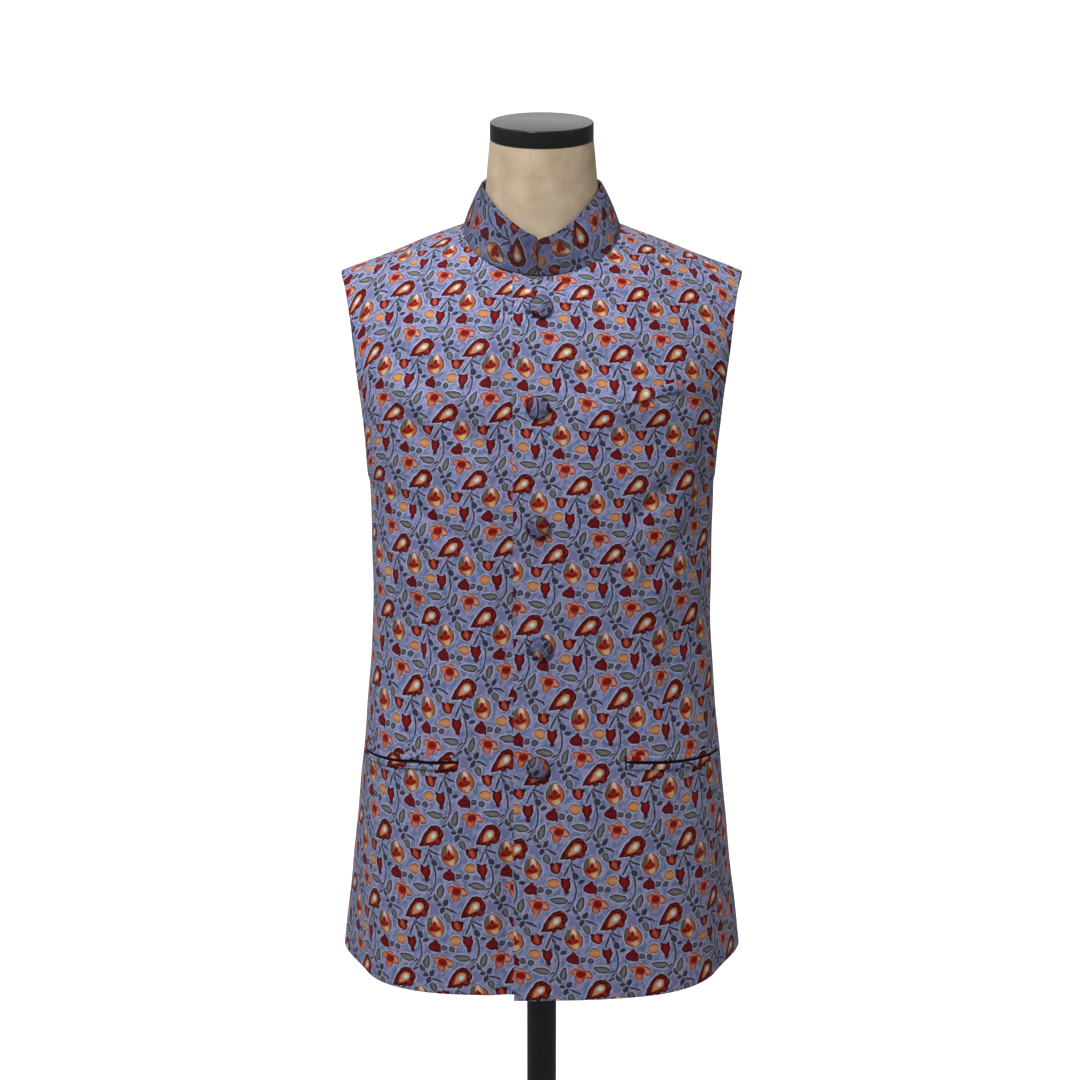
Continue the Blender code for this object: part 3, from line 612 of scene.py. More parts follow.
motif_depth = motif_maths("MULTIPLY", motif_inside, motif_in["Half Width"])
motif_past = motif_maths("MAXIMUM", motif_maths("SUBTRACT", motif_maths("ABSOLUTE", motif_along), 1.0), 0.0)
motif_end = motif_maths("MULTIPLY", motif_past, motif_in["Half Length"])
motif_reach = motif_maths("SUBTRACT", motif_depth, motif_end)
motif_halo = motif_maths("MULTIPLY", motif_step(motif_reach, *PALE_RING), motif_in["Halo"])
motif_body = motif_step(motif_reach, *OUTLINE)
motif_fill = motif_step(motif_maths("SUBTRACT", motif_reach, motif_in["Rim"]), *FILL_EDGE)
motif_heart = motif_step(motif_maths("SUBTRACT", motif_reach, motif_in["Heart"]), *HEART_EDGE)
motif_inner = motif_mix(motif_fill, motif_in["Rim Colour"], motif_in["Fill Colour"])
motif_inner = motif_mix(motif_heart, motif_inner, motif_in["Heart Colour"])
motif_ground = motif_mix(motif_halo, motif_in["Under"], HALO)
feed(motif_tree, motif_out, ("Colour", motif_mix(motif_body, motif_ground, motif_inner)))

# The motifs of one repeat, in the order in which they are printed, measured in millimetres from the big bud.
# Columns: x, y, angle of the tip, length, width, powers of the tip and the tail (0.5 round, 1 pointed), bend,
# how strong the pale ring round it is, depth of the rim and depth where the heart starts, and the colours of
# rim, fill and heart.
STEM = (0.25, 0.25)
LEAF = (0.9, 0.9)
ROUND = (0.5, 0.5)
MOTIFS = (
    (15.8, 0.8, 0, 10.5, 9.5, ROUND, 0.0, 0.0, 0.3, 2.0, (LAVENDER,) * 3),
    # stems and twigs
    (-8.9, -21.0, 244, 16.5, 2.1, STEM, 0.0, 0.4, 0.2, 9.0, ALL_SLATE),
    (-3.2, -20.4, 292, 15.5, 2.1, STEM, 0.3, 0.2, 0.2, 9.0, ALL_SLATE),
    (1.8, -17.0, 335, 17.0, 2.0, STEM, -0.5, 0.2, 0.2, 9.0, ALL_SLATE),
    (12.8, 10.6, 34, 11.0, 2.0, STEM, 0.0, 0.3, 0.2, 9.0, ALL_SLATE),
    (22.8, 6.6, 316, 12.0, 2.8, STEM, -0.9, 0.3, 0.2, 9.0, ALL_SLATE),
    (33.4, -0.6, 334, 14.0, 2.3, STEM, 0.8, 0.3, 0.2, 9.0, ALL_SLATE),
    (28.6, -3.6, 294, 7.0, 2.0, STEM, 0.0, 0.2, 0.2, 9.0, ALL_SLATE),
    (13.4, 18.8, 200, 9.0, 2.0, STEM, 0.8, 0.2, 0.2, 9.0, ALL_SLATE),
    # small leaves
    (29.4, 6.6, 56, 9.4, 5.2, LEAF, 0.0, 0.4, 0.4, 9.0, ALL_SLATE),
    (25.2, -1.2, 242, 8.8, 5.0, LEAF, 0.0, 0.3, 0.4, 9.0, ALL_SLATE),
    (22.4, 4.2, 172, 6.4, 4.0, LEAF, 0.0, 0.3, 0.4, 9.0, ALL_SLATE),
    (20.2, 12.2, 104, 8.0, 5.6, ROUND, 0.0, 0.4, 0.8, 9.0, (SLATE, srgb(74, 78, 92), SLATE)),
    (29.6, -8.8, 282, 10.2, 7.0, (0.7, 0.5), 0.0, 0.6, 1.2, 9.0, (SLATE, OLIVE_GREY, OLIVE_GREY)),
    (-1.0, -26.8, 296, 8.6, 6.2, LEAF, 0.0, 0.3, 0.4, 9.0, ALL_SLATE),
    (4.4, -32.6, 16, 7.4, 4.4, LEAF, 0.0, 0.3, 0.4, 9.0, ALL_SLATE),
    (21.2, -40.4, 0, 8.6, 6.2, ROUND, 0.0, 0.7, 1.2, 9.0, GREY_LEAF),
    (29.4, -42.0, 60, 7.2, 6.2, ROUND, 0.0, 0.7, 1.2, 9.0, GREY_LEAF),
    (5.0, 22.4, 170, 17.8, 8.0, (0.85, 0.6), 0.14, 0.8, 1.4, 3.2, (SLATE, OLIVE_GREY, SAGE)),
    (25.8, 19.0, 72, 16.0, 7.0, (0.85, 0.6), 0.18, 0.8, 1.4, 3.0, (SLATE, OLIVE_GREY, SAGE)),
    # berry, teardrop, diamond, brick bud
    (-23.3, -33.6, 176, 12.2, 10.8, (0.65, 0.5), 0.0, 0.8, 1.2, 3.2,
     (srgb(128, 92, 84), BERRY, srgb(236, 164, 98))),
    (-11.0, -37.0, 270, 14.0, 10.2, (0.85, 0.40), 0.0, 0.8, 1.3, 3.2, (MAROON, DARK_RED, srgb(154, 16, 16))),
    (-11.0, -43.0, 270, 6.4, 4.6, ROUND, 0.0, 0.0, 1.4, 9.0, ALL_DARK_RED),
    (-14.2, -30.6, 130, 4.4, 3.0, LEAF, 0.0, 0.0, 0.4, 9.0, ALL_MAROON),
    (-8.0, -30.6, 50, 4.4, 3.0, LEAF, 0.0, 0.0, 0.4, 9.0, ALL_MAROON),
    (12.0, -39.8, 190, 13.2, 11.0, (0.75, 0.58), 0.0, 0.8, 1.5, 4.0, (MAROON, DARK_RED, srgb(134, 8, 28))),
    (13.5, -35.7, 76, 7.8, 5.6, LEAF, 0.0, 0.0, 0.8, 9.0, ALL_DARK_RED),
    (15.9, -43.1, 300, 6.0, 4.6, LEAF, 0.0, 0.0, 0.8, 9.0, ALL_DARK_RED),
    (-19.4, -18.6, 286, 11.8, 11.0, (0.55, 0.36), 0.0, 0.8, 1.9, 3.6,
     (MAROON, srgb(160, 36, 30), srgb(204, 92, 62))),
    (-23.4, -14.8, 148, 5.0, 4.0, LEAF, 0.0, 0.0, 0.9, 9.0, ALL_MAROON),
    (-15.0, -15.3, 34, 5.4, 4.2, LEAF, 0.0, 0.0, 0.9, 9.0, ALL_MAROON),
    # star flower
    (-14.9, 17.9, 0, 11.4, 10.8, ROUND, 0.0, 0.8, 1.2, 2.8, (srgb(150, 58, 44), ORANGE, srgb(222, 136, 98))),
    (-14.5, 21.8, 84, 9.8, 9.6, (0.7, 0.5), 0.0, 0.5, 1.2, 2.6,
     (srgb(146, 52, 40), ORANGE, srgb(226, 142, 104))),
    (-20.2, 19.8, 160, 9.4, 9.0, (0.7, 0.5), 0.0, 0.5, 1.2, 2.6,
     (srgb(150, 58, 44), ORANGE, srgb(226, 142, 104))),
    (-9.4, 17.2, 336, 11.6, 9.6, (0.7, 0.5), 0.2, 0.5, 1.3, 2.8,
     (srgb(146, 52, 40), srgb(206, 124, 100), PEACH)),
    (-17.0, 13.0, 254, 11.2, 9.0, (0.6, 0.5), 0.0, 0.5, 1.2, 2.6,
     (srgb(150, 58, 44), ORANGE, srgb(222, 132, 92))),
    (-15.1, 18.0, 0, 9.6, 9.2, ROUND, 0.0, 0.0, 1.2, 2.8,
     (srgb(186, 58, 38), srgb(156, 20, 12), srgb(138, 8, 6))),
    # round bloom
    (15.8, -18.6, 90, 24.6, 18.4, (0.80, 0.70), 0.0, 0.8, 1.5, 4.6,
     (srgb(90, 84, 74), srgb(208, 108, 60), PEACH)),
    (10.2, -15.8, 82, 15.0, 5.2, LEAF, 0.0, 0.0, 0.8, 9.0,
     (srgb(84, 84, 72), srgb(104, 106, 84), OLIVE_GREY)),
    (16.5, -11.5, 102, 8.2, 5.0, ROUND, 0.0, 0.0, 0.5, 1.3,
     (PEACH, srgb(240, 206, 190), srgb(246, 226, 218))),
    (17.5, -25.8, 76, 7.0, 6.0, ROUND, 0.0, 0.0, 0.6, 1.6, (PEACH, CREAM, CREAM)),
    (14.7, -20.3, 8, 13.8, 8.0, (0.7, 0.6), 0.10, 0.0, 1.2, 2.4,
     (srgb(196, 70, 36), srgb(150, 14, 10), srgb(126, 4, 6))),
    (15.4, -17.1, 86, 8.4, 5.4, LEAF, 0.0, 0.0, 1.0, 2.0,
     (srgb(190, 64, 34), srgb(150, 14, 10), srgb(126, 4, 6))),
    # big bud
    (-2.5, -1.3, 216, 31.0, 17.0, (0.95, 0.36), 0.04, 0.9, 2.5, 5.0, (MAROON, RED, srgb(196, 72, 36))),
    (4.2, -3.4, 318, 10.6, 10.8, ROUND, 0.0, 0.0, 2.4, 4.4, (MAROON, RED, srgb(176, 48, 24))),
    (-0.4, 5.9, 82, 11.2, 9.2, (0.8, 0.5), 0.0, 0.0, 2.6, 9.0, (MAROON, RED, RED)),
    (5.7, 5.5, 44, 9.8, 7.8, (0.9, 0.5), 0.0, 0.0, 2.2, 9.0, (MAROON, RED, BRICK)),
    (-8.8, -7.5, 256, 5.2, 6.2, ROUND, 0.0, 0.0, 2.0, 9.0, (MAROON, RED, RED)),
    (-2.3, -7.9, 268, 5.2, 6.4, ROUND, 0.0, 0.0, 2.0, 9.0, (MAROON, RED, RED)),
    (-1.2, -0.8, 223, 17.4, 8.8, (0.95, 0.45), 0.0, 0.0, 1.0, 2.6,
     (srgb(202, 104, 62), srgb(226, 158, 110), PEACH)),
    (1.2, 1.0, 50, 6.2, 5.6, ROUND, 0.0, 0.0, 0.7, 1.3,
     (srgb(196, 196, 172), srgb(212, 232, 220), srgb(236, 250, 246))),
)


def in_repeats(x, y):
    """A place on the flat cloth, in metres, as shares of the repeat's two steps."""
    area = REPEAT_ACROSS.x * REPEAT_DOWN.y - REPEAT_ACROSS.y * REPEAT_DOWN.x
    return (
        (x * REPEAT_DOWN.y - y * REPEAT_DOWN.x) / area,
        (y * REPEAT_ACROSS.x - x * REPEAT_ACROSS.y) / area,
    )


def in_motif(direction, half_size):
    """How far one step of the repeat carries along a direction, in half sizes of the motif."""
    return (REPEAT_ACROSS.dot(direction) / half_size, REPEAT_DOWN.dot(direction) / half_size, 0.0)


print_tree, print_in, print_out = new_group(
    "floral_print", (("Cell", VECTOR, (0, 0, 0)),), (("Colour", COLOUR),)
)
print_maths = functools.partial(calculate, print_tree)
print_cell = print_in["Cell"]
for print_scale, print_waver in ((5.0, 0.030), (20.0, 0.022)):
    wobble = noise(print_tree, print_in["Cell"], print_scale, 1.0, "2D").outputs["Color"]
    wobble_off = vector_maths(print_tree, "SUBTRACT", wobble, (0.5, 0.5, 0.5)).outputs[0]
    wavers = (print_waver, print_waver * 0.8, 0.0)
    wobble_step = vector_maths(print_tree, "MULTIPLY", wobble_off, wavers).outputs[0]
    print_cell = vector_maths(print_tree, "ADD", print_cell, wobble_step).outputs[0]
ground_cloud = noise(print_tree, print_in["Cell"], 11.0, 3.0, "2D").outputs["Fac"]
ground_share = soft_step(print_tree, ground_cloud, 0.36, 0.64)
print_colour = mix_colours(print_tree, ground_share, GROUND_BLUE, GROUND_VIOLET)

# The long vine runs down from bud to bud and sways to the right between them, in shares of a repeat. Its half
# width, its pale ring and its soft edge are in millimetres.
VINE_SWAY = 0.113
VINE_PHASE = 0.14
VINE_HALF_WIDTH = 0.95
VINE_RING = 1.6
VINE_RING_STRENGTH = 0.5
VINE_EDGE = 0.3
vine_split = add_node(print_tree, "SeparateXYZ", (0, print_cell))
vine_turn = print_maths("MULTIPLY", print_maths("SUBTRACT", vine_split.outputs[1], VINE_PHASE), 2 * math.pi)
vine_sway = print_maths("MULTIPLY_ADD", print_maths("COSINE", vine_turn), VINE_SWAY, vine_split.outputs[0])
vine_off = print_maths("WRAP", print_maths("SUBTRACT", vine_sway, VINE_SWAY), 0.5, -0.5)
vine_away = print_maths("MULTIPLY", print_maths("ABSOLUTE", vine_off), REPEAT_ACROSS.x * 1000)
vine_ring = soft_step(print_tree, vine_away, VINE_HALF_WIDTH + VINE_RING, VINE_HALF_WIDTH)
vine_ring = print_maths("MULTIPLY", vine_ring, VINE_RING_STRENGTH)
print_colour = mix_colours(print_tree, vine_ring, print_colour, HALO)
vine_line = soft_step(print_tree, vine_away, VINE_HALF_WIDTH + VINE_EDGE, VINE_HALF_WIDTH - VINE_EDGE)
print_colour = mix_colours(print_tree, vine_line, print_colour, SLATE)
for motif in MOTIFS:
    x, y, angle, length, width, (tip, tail), bend, halo, rim, heart, colours = motif
    heading = Vector((math.cos(math.radians(angle)), math.sin(math.radians(angle))))
    sideways = Vector((-heading.y, heading.x))
    widest = (tail - tip) / (tail + tip)
    print_colour = add_node(
        print_tree, "Group",
        ("Under", print_colour),
        ("Cell", print_cell),
        ("Centre", (*in_repeats(x / 1000, y / 1000), 0.0)),
        ("Along", in_motif(heading, length / 2000)),
        ("Across", in_motif(sideways, width / 2000)),
        ("Half Length", length / 2),
        ("Half Width", width / 2),
        ("Tip", tip),
        ("Tail", tail),
        ("Fullness", 1 / ((1 - widest) ** tip * (1 + widest) ** tail)),
        ("Bend", bend),
        ("Halo", halo),
        ("Rim", rim),
        ("Heart", heart),
        ("Rim Colour", colours[0]),
        ("Fill Colour", colours[1]),
        ("Heart Colour", colours[2]),
        node_tree=motif_tree,
    ).outputs["Colour"]
feed(print_tree, print_out, ("Colour", print_colour))


def cotton(name, faded, tint, roughness=0.78):
    """The printed cotton; faded is how much of the print is lost, as on the cloth's wrong side.

    Returns the material, its tree, its shader and its colour.
    """
    material, tree, shader = new_material(name)
    printed = add_node(tree, "Group", ("Cell", flat_place(tree, "repeat")), node_tree=print_tree)
    colour = mix_colours(tree, faded, printed.outputs["Colour"], srgb(170, 172, 214))
    weave = weave_node(tree, flat_place(tree, "cloth"), 1500.0, 0.5)
    thread = spread_out(tree, weave.outputs["Shade"], 0.3, 0.7, 0.90, 1.04)
    thread_colour = add_node(tree, "CombineColor", (0, thread), (1, thread), (2, thread)).outputs[0]
    colour = mix_colours(tree, 1.0, colour, thread_colour, "MULTIPLY")
    colour = mix_colours(tree, 1.0, colour, tint, "MULTIPLY")
    feed(
        tree, shader,
        ("Base Color", colour),
        ("Roughness", roughness),
        ("Specular IOR Level", 0.25),
        ("Sheen Weight", 0.08),
        ("Sheen Roughness", 0.4),
    )
    add_relief(tree, shader, weave.outputs["Height"], 0.25, 0.0002)
    return material, tree, shader, colour


COTTON_TINT = (0.92, 0.92, 0.92, 1.0)
printed_cotton = cotton("printed_cotton", 0.0, COTTON_TINT)[0]
cotton_wrong_side = cotton("printed_cotton_wrong_side", 0.62, COTTON_TINT)[0]


# ---- The back ----
# One panel of the printed cotton from side seam to side seam, cut without a centre seam, sewn to the fronts
# at the sides and the shoulders. It hangs from the shoulder blades in soft vertical folds.
WALL = 0.002                 # the cloth with what lines it
SEAM_GAP = 0.0003
HEM_HEIGHT = 0.681
UNDERARM_HEIGHT = 1.210
NECK_HALF_WIDTH = 0.079
NECK_POINT_HEIGHT = 1.4740
NECK_FRONT_HEIGHT = 1.4395
NECK_BACK_HEIGHT = 1.4765
NECKLINE_POWER = 1.15
SHOULDER_TIP = 0.2032        # how far out the shoulder seam ends
SHOULDER_SLOPE = 0.388
NECK_RISE_FRONT = 0.0085     # how far the shoulder line rises on from the neck point to the middle
NECK_RISE_BACK = 0.020
RIDGE_Y = 0.004              # where the shoulder line lies, front to back
FRONT_ROOF = 0.120           # how far below the shoulder line the cloth starts to turn over it
BACK_ROOF = 0.100
# Columns: height, half width, depth in front, depth behind, squareness.
BODY_SECTIONS = (
    (0.660, 0.1945, 0.1380, 0.120, 3.40),
    (0.775, 0.1925, 0.1320, 0.115, 3.00),
    (0.870, 0.1895, 0.1270, 0.109, 2.80),
    (0.960, 0.1840, 0.1220, 0.099, 2.65),
    (1.050, 0.1772, 0.1185, 0.090, 2.50),
    (1.130, 0.1765, 0.1200, 0.090, 2.50),
    (1.210, 0.1775, 0.1230, 0.097, 2.50),
    (1.290, 0.1800, 0.1210, 0.106, 2.50),
    (1.360, 0.1870, 0.1110, 0.108, 2.45),
    (1.420, 0.2000, 0.0990, 0.104, 2.40),
    (1.500, 0.2100, 0.0880, 0.100, 2.40),
)
SIDE_KICK = 0.0225           # how far the side seam kicks out at the bottom
SIDE_KICK_TOP = 0.960        # the height where that starts
SIDE_KICK_GROWTH = 1.5
SIDE_KICK_SHARE = 0.56       # and the share of the depth over which it dies away
# The armhole's edge above the underarm. Columns: rise, how far out, how far forward, how far behind.
ARMHOLE = (
    (0.000, 0.1775, 0.000, 0.000),
    (0.005, 0.1775, 0.022, 0.022),
    (0.015, 0.1777, 0.038, 0.038),
    (0.033, 0.1782, 0.050, 0.051),
    (0.060, 0.1797, 0.056, 0.060),
    (0.095, 0.1830, 0.058, 0.065),
    (0.135, 0.1880, 0.058, 0.067),
    (0.175, 0.1928, 0.058, 0.067),
    (0.195, 0.1960, 0.058, 0.067),
    (0.207, 0.1990, 0.058, 0.067),
    (0.216, SHOULDER_TIP, 0.058, 0.067),
)
# The soft folds of the hanging cloth. Columns: degrees from the centre front, heights of the lower and upper
# end, half spread in degrees, offset outward.
FOLDS = (
    (-52.0, 0.90, 1.16, 9.0, 0.0030),
    (-70.0, 0.88, 1.14, 11.0, -0.0030),
    (61.0, 0.93, 1.12, 12.0, -0.0020),
    (-160.0, 0.70, 1.05, 9.0, -0.0030),
    (152.0, 0.70, 1.02, 10.0, 0.0030),
    (128.0, 0.72, 0.98, 9.0, -0.0025),
)
NECK_SHARE = 6 / 13          # share of a half panel's columns that end on the neckline
SIDE_COLUMNS = 60            # columns from the centre to the side seam
LOWER_ROWS = 116             # rows from the hem to the underarm
CHEST_ROWS = 26              # on to where the shoulder starts to turn over
ROOF_ROWS = 34               # and over the shoulder
EDGE_COLUMN = 0.006          # how far from the side seam its last column but one lies, as a share
CHEST_SPACING = 1.3          # the chest's rows open out upward by this power
LAST_STRIP = 0.0030          # how far below a panel's top edge its last row but one lies, in the middle
LAST_STRIP_DROP = 0.0001     # and along the shoulder
SECTION_STEPS = 90
CREASE_OVERRUN = 0.15        # how far a crease runs past its ends, as a share of its length
CREASE_FADE = 0.45           # the share of its length over which it fades in or out
CREASE_BANKS = 0.7           # how much the cloth rises again beside a trough
RIPPLE = 0.0005              # the fine unevenness between the creases
PANEL_EDGE = 0.0006          # how much a panel's edges are softened


@functools.lru_cache(maxsize=None)
def body_section(height):
    """Half width, depth in front, depth behind and squareness of the body at a height."""
    half_width, front, back, squareness = read_table(BODY_SECTIONS, height)
    rise = height - UNDERARM_HEIGHT
    if rise > 0:
        edge_x, edge_front, _ = read_table(ARMHOLE, rise)
        share = min(edge_front / front, 0.95)
        half_width = edge_x / (1 - share ** squareness) ** (1 / squareness)
    return half_width, front, back, squareness


def shoulder_height(x, behind=False):
    """Height of the shoulder line at a distance from the middle; inside the neck it rises to the middle."""
    if abs(x) >= NECK_HALF_WIDTH:
        return NECK_POINT_HEIGHT - SHOULDER_SLOPE * (abs(x) - NECK_HALF_WIDTH)
    rise = NECK_RISE_BACK if behind else NECK_RISE_FRONT
    return NECK_POINT_HEIGHT + rise * (1 - (x / NECK_HALF_WIDTH) ** 2)


def surface_y(x, height, behind):
    """The body surface as a depth over the front or the back, turning over at the shoulder line."""
    half_width, front, back, squareness = body_section(height)
    depth = back if behind else -front
    roof = BACK_ROOF if behind else FRONT_ROOF
    share = min(abs(x) / half_width, 1.0)
    across = (1 - share ** squareness) ** (1 / squareness)
    below = min(max((shoulder_height(x, behind) - height) / roof, 0.0), 1.0)
    turned_over = math.sqrt(1 - (1 - below) ** 2)
    return RIDGE_Y * (1 - turned_over) + depth * across * turned_over


def surface_normal(x, height, behind):
    """Outward direction of the body surface, away from its side edges."""
    step = 0.002
    slope_x = (surface_y(x + step, height, behind) - surface_y(x - step, height, behind)) / (2 * step)
    slope_z = (surface_y(x, height + step, behind) - surface_y(x, height - step, behind)) / (2 * step)
    outward = Vector((-slope_x, 1.0, -slope_z)) if behind else Vector((slope_x, -1.0, slope_z))
    return outward.normalized()


def ease(t):
    """0 to 1 with level ends."""
    t = min(max(t, 0.0), 1.0)
    return t * t * (3 - 2 * t)


def half_section(height, behind):
    """The level section of half the body: points from the centre to the side seam, and lengths along it."""
    half_width, front, back, squareness = body_section(height)
    depth = back if behind else -front
    growth = max(SIDE_KICK_TOP - height, 0.0) / (SIDE_KICK_TOP - BODY_SECTIONS[0][0])
    reach_out = SIDE_KICK * growth ** SIDE_KICK_GROWTH
    points = []
    for step in range(SECTION_STEPS + 1):
        angle = math.pi / 2 * step / SECTION_STEPS
        sine = math.sin(angle)
        cosine = max(math.cos(angle), 0.0)
        reach = (sine ** squareness + cosine ** squareness) ** (-1 / squareness)
        kick = reach_out * (1 - ease(cosine * reach / SIDE_KICK_SHARE))
        points.append((half_width * sine * reach + kick, depth * cosine * reach))
    lengths = [0.0]
    for (x0, y0), (x1, y1) in zip(points, points[1:]):
        lengths.append(lengths[-1] + math.hypot(x1 - x0, y1 - y0))
    return points, lengths


def on_section(section, share):
    """A point of a section at a share of its length, and the length up to it."""
    points, lengths = section
    target = share * lengths[-1]
    step = 0
    while step < SECTION_STEPS - 1 and lengths[step + 1] < target:
        step += 1
    t = (target - lengths[step]) / (lengths[step + 1] - lengths[step])
    (x0, y0), (x1, y1) = points[step], points[step + 1]
    return x0 + (x1 - x0) * t, y0 + (y1 - y0) * t, target


def with_folds(point):
    """Move a point of the hanging cloth outward or inward by the soft folds that cross it."""
    angle = math.degrees(math.atan2(point.x, -point.y))
    offset = 0.0
    for fold_angle, low, high, half_spread, amount in FOLDS:
        across = abs((angle - fold_angle + 180) % 360 - 180) / half_spread
        along = (point.z - low) / (high - low)
        if across < 1 and 0 < along < 1:
            offset += amount * (1 - ease(across)) * math.sin(math.pi * along)
    half_width, front, back, _ = body_section(point.z)
    depth = front if point.y < 0 else back
    outward = Vector((point.x / half_width ** 2, point.y / depth ** 2, 0.0)).normalized()
    return point + outward * offset


def neckline(turn):
    """A point of the neckline; the turn is 0 at the centre front, 90 at the neck point and 180 behind."""
    behind = turn > 90
    away = abs(math.cos(math.radians(turn))) ** NECKLINE_POWER
    end = NECK_BACK_HEIGHT if behind else NECK_FRONT_HEIGHT
    x = NECK_HALF_WIDTH * math.sin(math.radians(turn))
    height = NECK_POINT_HEIGHT + (end - NECK_POINT_HEIGHT) * away
    return Vector((x, surface_y(x, height, behind), height))


def column_top(x, share, behind):
    """Where a column of a panel ends: on the neckline, or on the shoulder seam."""
    if x is not None:
        turn = math.degrees(math.asin(abs(x) / NECK_HALF_WIDTH))
        point = neckline(180 - turn if behind else turn)
        return Vector((x, point.y, point.z))
    if share < NECK_SHARE:
        turn = 90 * share / NECK_SHARE
        return neckline(180 - turn if behind else turn)
    out = (share - NECK_SHARE) / (1 - NECK_SHARE)
    x = NECK_HALF_WIDTH + (SHOULDER_TIP - NECK_HALF_WIDTH) * out
    seam = SEAM_GAP / 2 if behind else -SEAM_GAP / 2
    return Vector((x, RIDGE_Y + seam, shoulder_height(x)))


def length_across(x, height, behind, steps=12):
    """Length along the level section of the body from the centre out to x."""
    length = 0.0
    before = surface_y(0.0, height, behind)
    for step in range(1, steps + 1):
        after = surface_y(x * step / steps, height, behind)
        length += math.hypot(x / steps, after - before)
        before = after
    return math.copysign(length, x)


def half_panel(lap, behind, hem_at):
    """Rows of (point, across, up) from the centre columns out to the side seam and the armhole.

    lap lists the x places of the columns at or past the centre, down to the centre itself, and hem_at gives
    the hem's height at a share of the way to the side seam.
    """
    columns = [(x, 0.0) for x in lap]
    columns += [(None, step / SIDE_COLUMNS) for step in range(1, SIDE_COLUMNS)]
    columns += [(None, 1 - EDGE_COLUMN), (None, 1.0)]
    seam = SEAM_GAP / 2 if behind else -SEAM_GAP / 2
    rows = []
    for row in range(LOWER_ROWS + 1):
        line = []
        level = HEM_HEIGHT + (UNDERARM_HEIGHT - HEM_HEIGHT) * row / LOWER_ROWS
        section = half_section(level, behind)
        for x, share in columns:
            low = hem_at(share)
            height = low + (UNDERARM_HEIGHT - low) * row / LOWER_ROWS
            if x is None:
                section_x, y, across = on_section(section, share)
            else:
                section_x, y, across = x, surface_y(x, height, behind), x
            point = with_folds(Vector((section_x, y, height)))
            if share == 1:
                point.y = seam
            line.append((point, across, height - UNDERARM_HEIGHT))
        rows.append(line)
    underarm = rows[-1]
    width = underarm[-1][0].x
    tops = [column_top(x, share, behind) for x, share in columns]
    strips = []
    for top in tops:
        across = min(abs(top.x) / NECK_HALF_WIDTH, 1.0)
        height = top.z - max(LAST_STRIP * math.sqrt(1 - across ** 2), LAST_STRIP_DROP)
        strips.append(Vector((top.x, surface_y(top.x, height, behind), height)))
    roof = BACK_ROOF if behind else FRONT_ROOF
    tip_rise = shoulder_height(SHOULDER_TIP) - UNDERARM_HEIGHT
    tip_x = read_table(ARMHOLE, tip_rise)[0]
    ups = [0.0] * len(columns)
    before = [point for point, _, _ in underarm]
    for row in range(1, CHEST_ROWS + ROOF_ROWS + 1):
        line = []
        for number, ((set_x, _), (start, _, _), strip) in enumerate(zip(columns, underarm, strips)):
            ridge = shoulder_height(strip.x, behind)
            if row <= CHEST_ROWS:
                chest_rise = (row / CHEST_ROWS) ** CHEST_SPACING
                height = UNDERARM_HEIGHT + (ridge - roof - UNDERARM_HEIGHT) * chest_rise
            else:
                last = math.acos(1 - (ridge - strip.z) / roof)
                angle = math.pi / 2 + (last - math.pi / 2) * (row - CHEST_ROWS) / ROOF_ROWS
                height = ridge - roof * (1 - math.cos(angle))
            rise = (height - UNDERARM_HEIGHT) / (strip.z - UNDERARM_HEIGHT)
            blend = ease(rise)
            share = start.x / width * (1 - blend) + strip.x / tip_x * blend
            x = share * read_table(ARMHOLE, tip_rise * rise)[0] if set_x is None else set_x
            point = Vector((x, surface_y(x, height, behind), height))
            middle_x = (x + before[number].x) / 2
            sink = surface_y(middle_x, height, behind) - surface_y(middle_x, before[number].z, behind)
            ups[number] += math.hypot(height - before[number].z, sink)
            before[number] = point
            line.append((point, length_across(x, height, behind), ups[number]))
        rows.append(line)
    line = []
    for number, top in enumerate(tops):
        ups[number] += (top - before[number]).length
        line.append((top, rows[-1][number][1], ups[number]))
    rows.append(line)
    return rows


def mirrored(rows):
    """The other half of a panel, whose places across run the other way."""
    return [[(Vector((-p.x, p.y, p.z)), -u, v) for p, u, v in reversed(row)] for row in rows]


def crease_offset(creases, x, height):
    """How far the creases push the cloth at a place: troughs inward, ridges outward."""
    offset = 0.0
    for x0, z0, x1, z1, depth, half_width in creases:
        run_x, run_z = x1 - x0, z1 - z0
        along = ((x - x0) * run_x + (height - z0) * run_z) / (run_x ** 2 + run_z ** 2)
        if not -CREASE_OVERRUN < along < 1 + CREASE_OVERRUN:
            continue
        away = ((x - x0) * run_z - (height - z0) * run_x) / math.hypot(run_x, run_z) / half_width
        if abs(away) > 3:
            continue
        fade = ease((along + CREASE_OVERRUN) / CREASE_FADE) * ease((1 + CREASE_OVERRUN - along) / CREASE_FADE)
        offset -= depth * fade * math.exp(-away ** 2) * (1 - CREASE_BANKS * away ** 2)
    return offset


def cut_from_print(places, cut):
    """Where the cloth's places fall in the print; cut says how the piece lay on it, repeats across and down.

    Each has a start, steps for across, up, up squared, across by up and up cubed, for the ease of the cloth.
    """
    repeats = []
    for u, v in places:
        steps = (1.0, u, v, v * v, u * v, v ** 3)
        repeats.append(tuple(sum(amount * step for amount, step in zip(way, steps)) for way in cut))
    return repeats


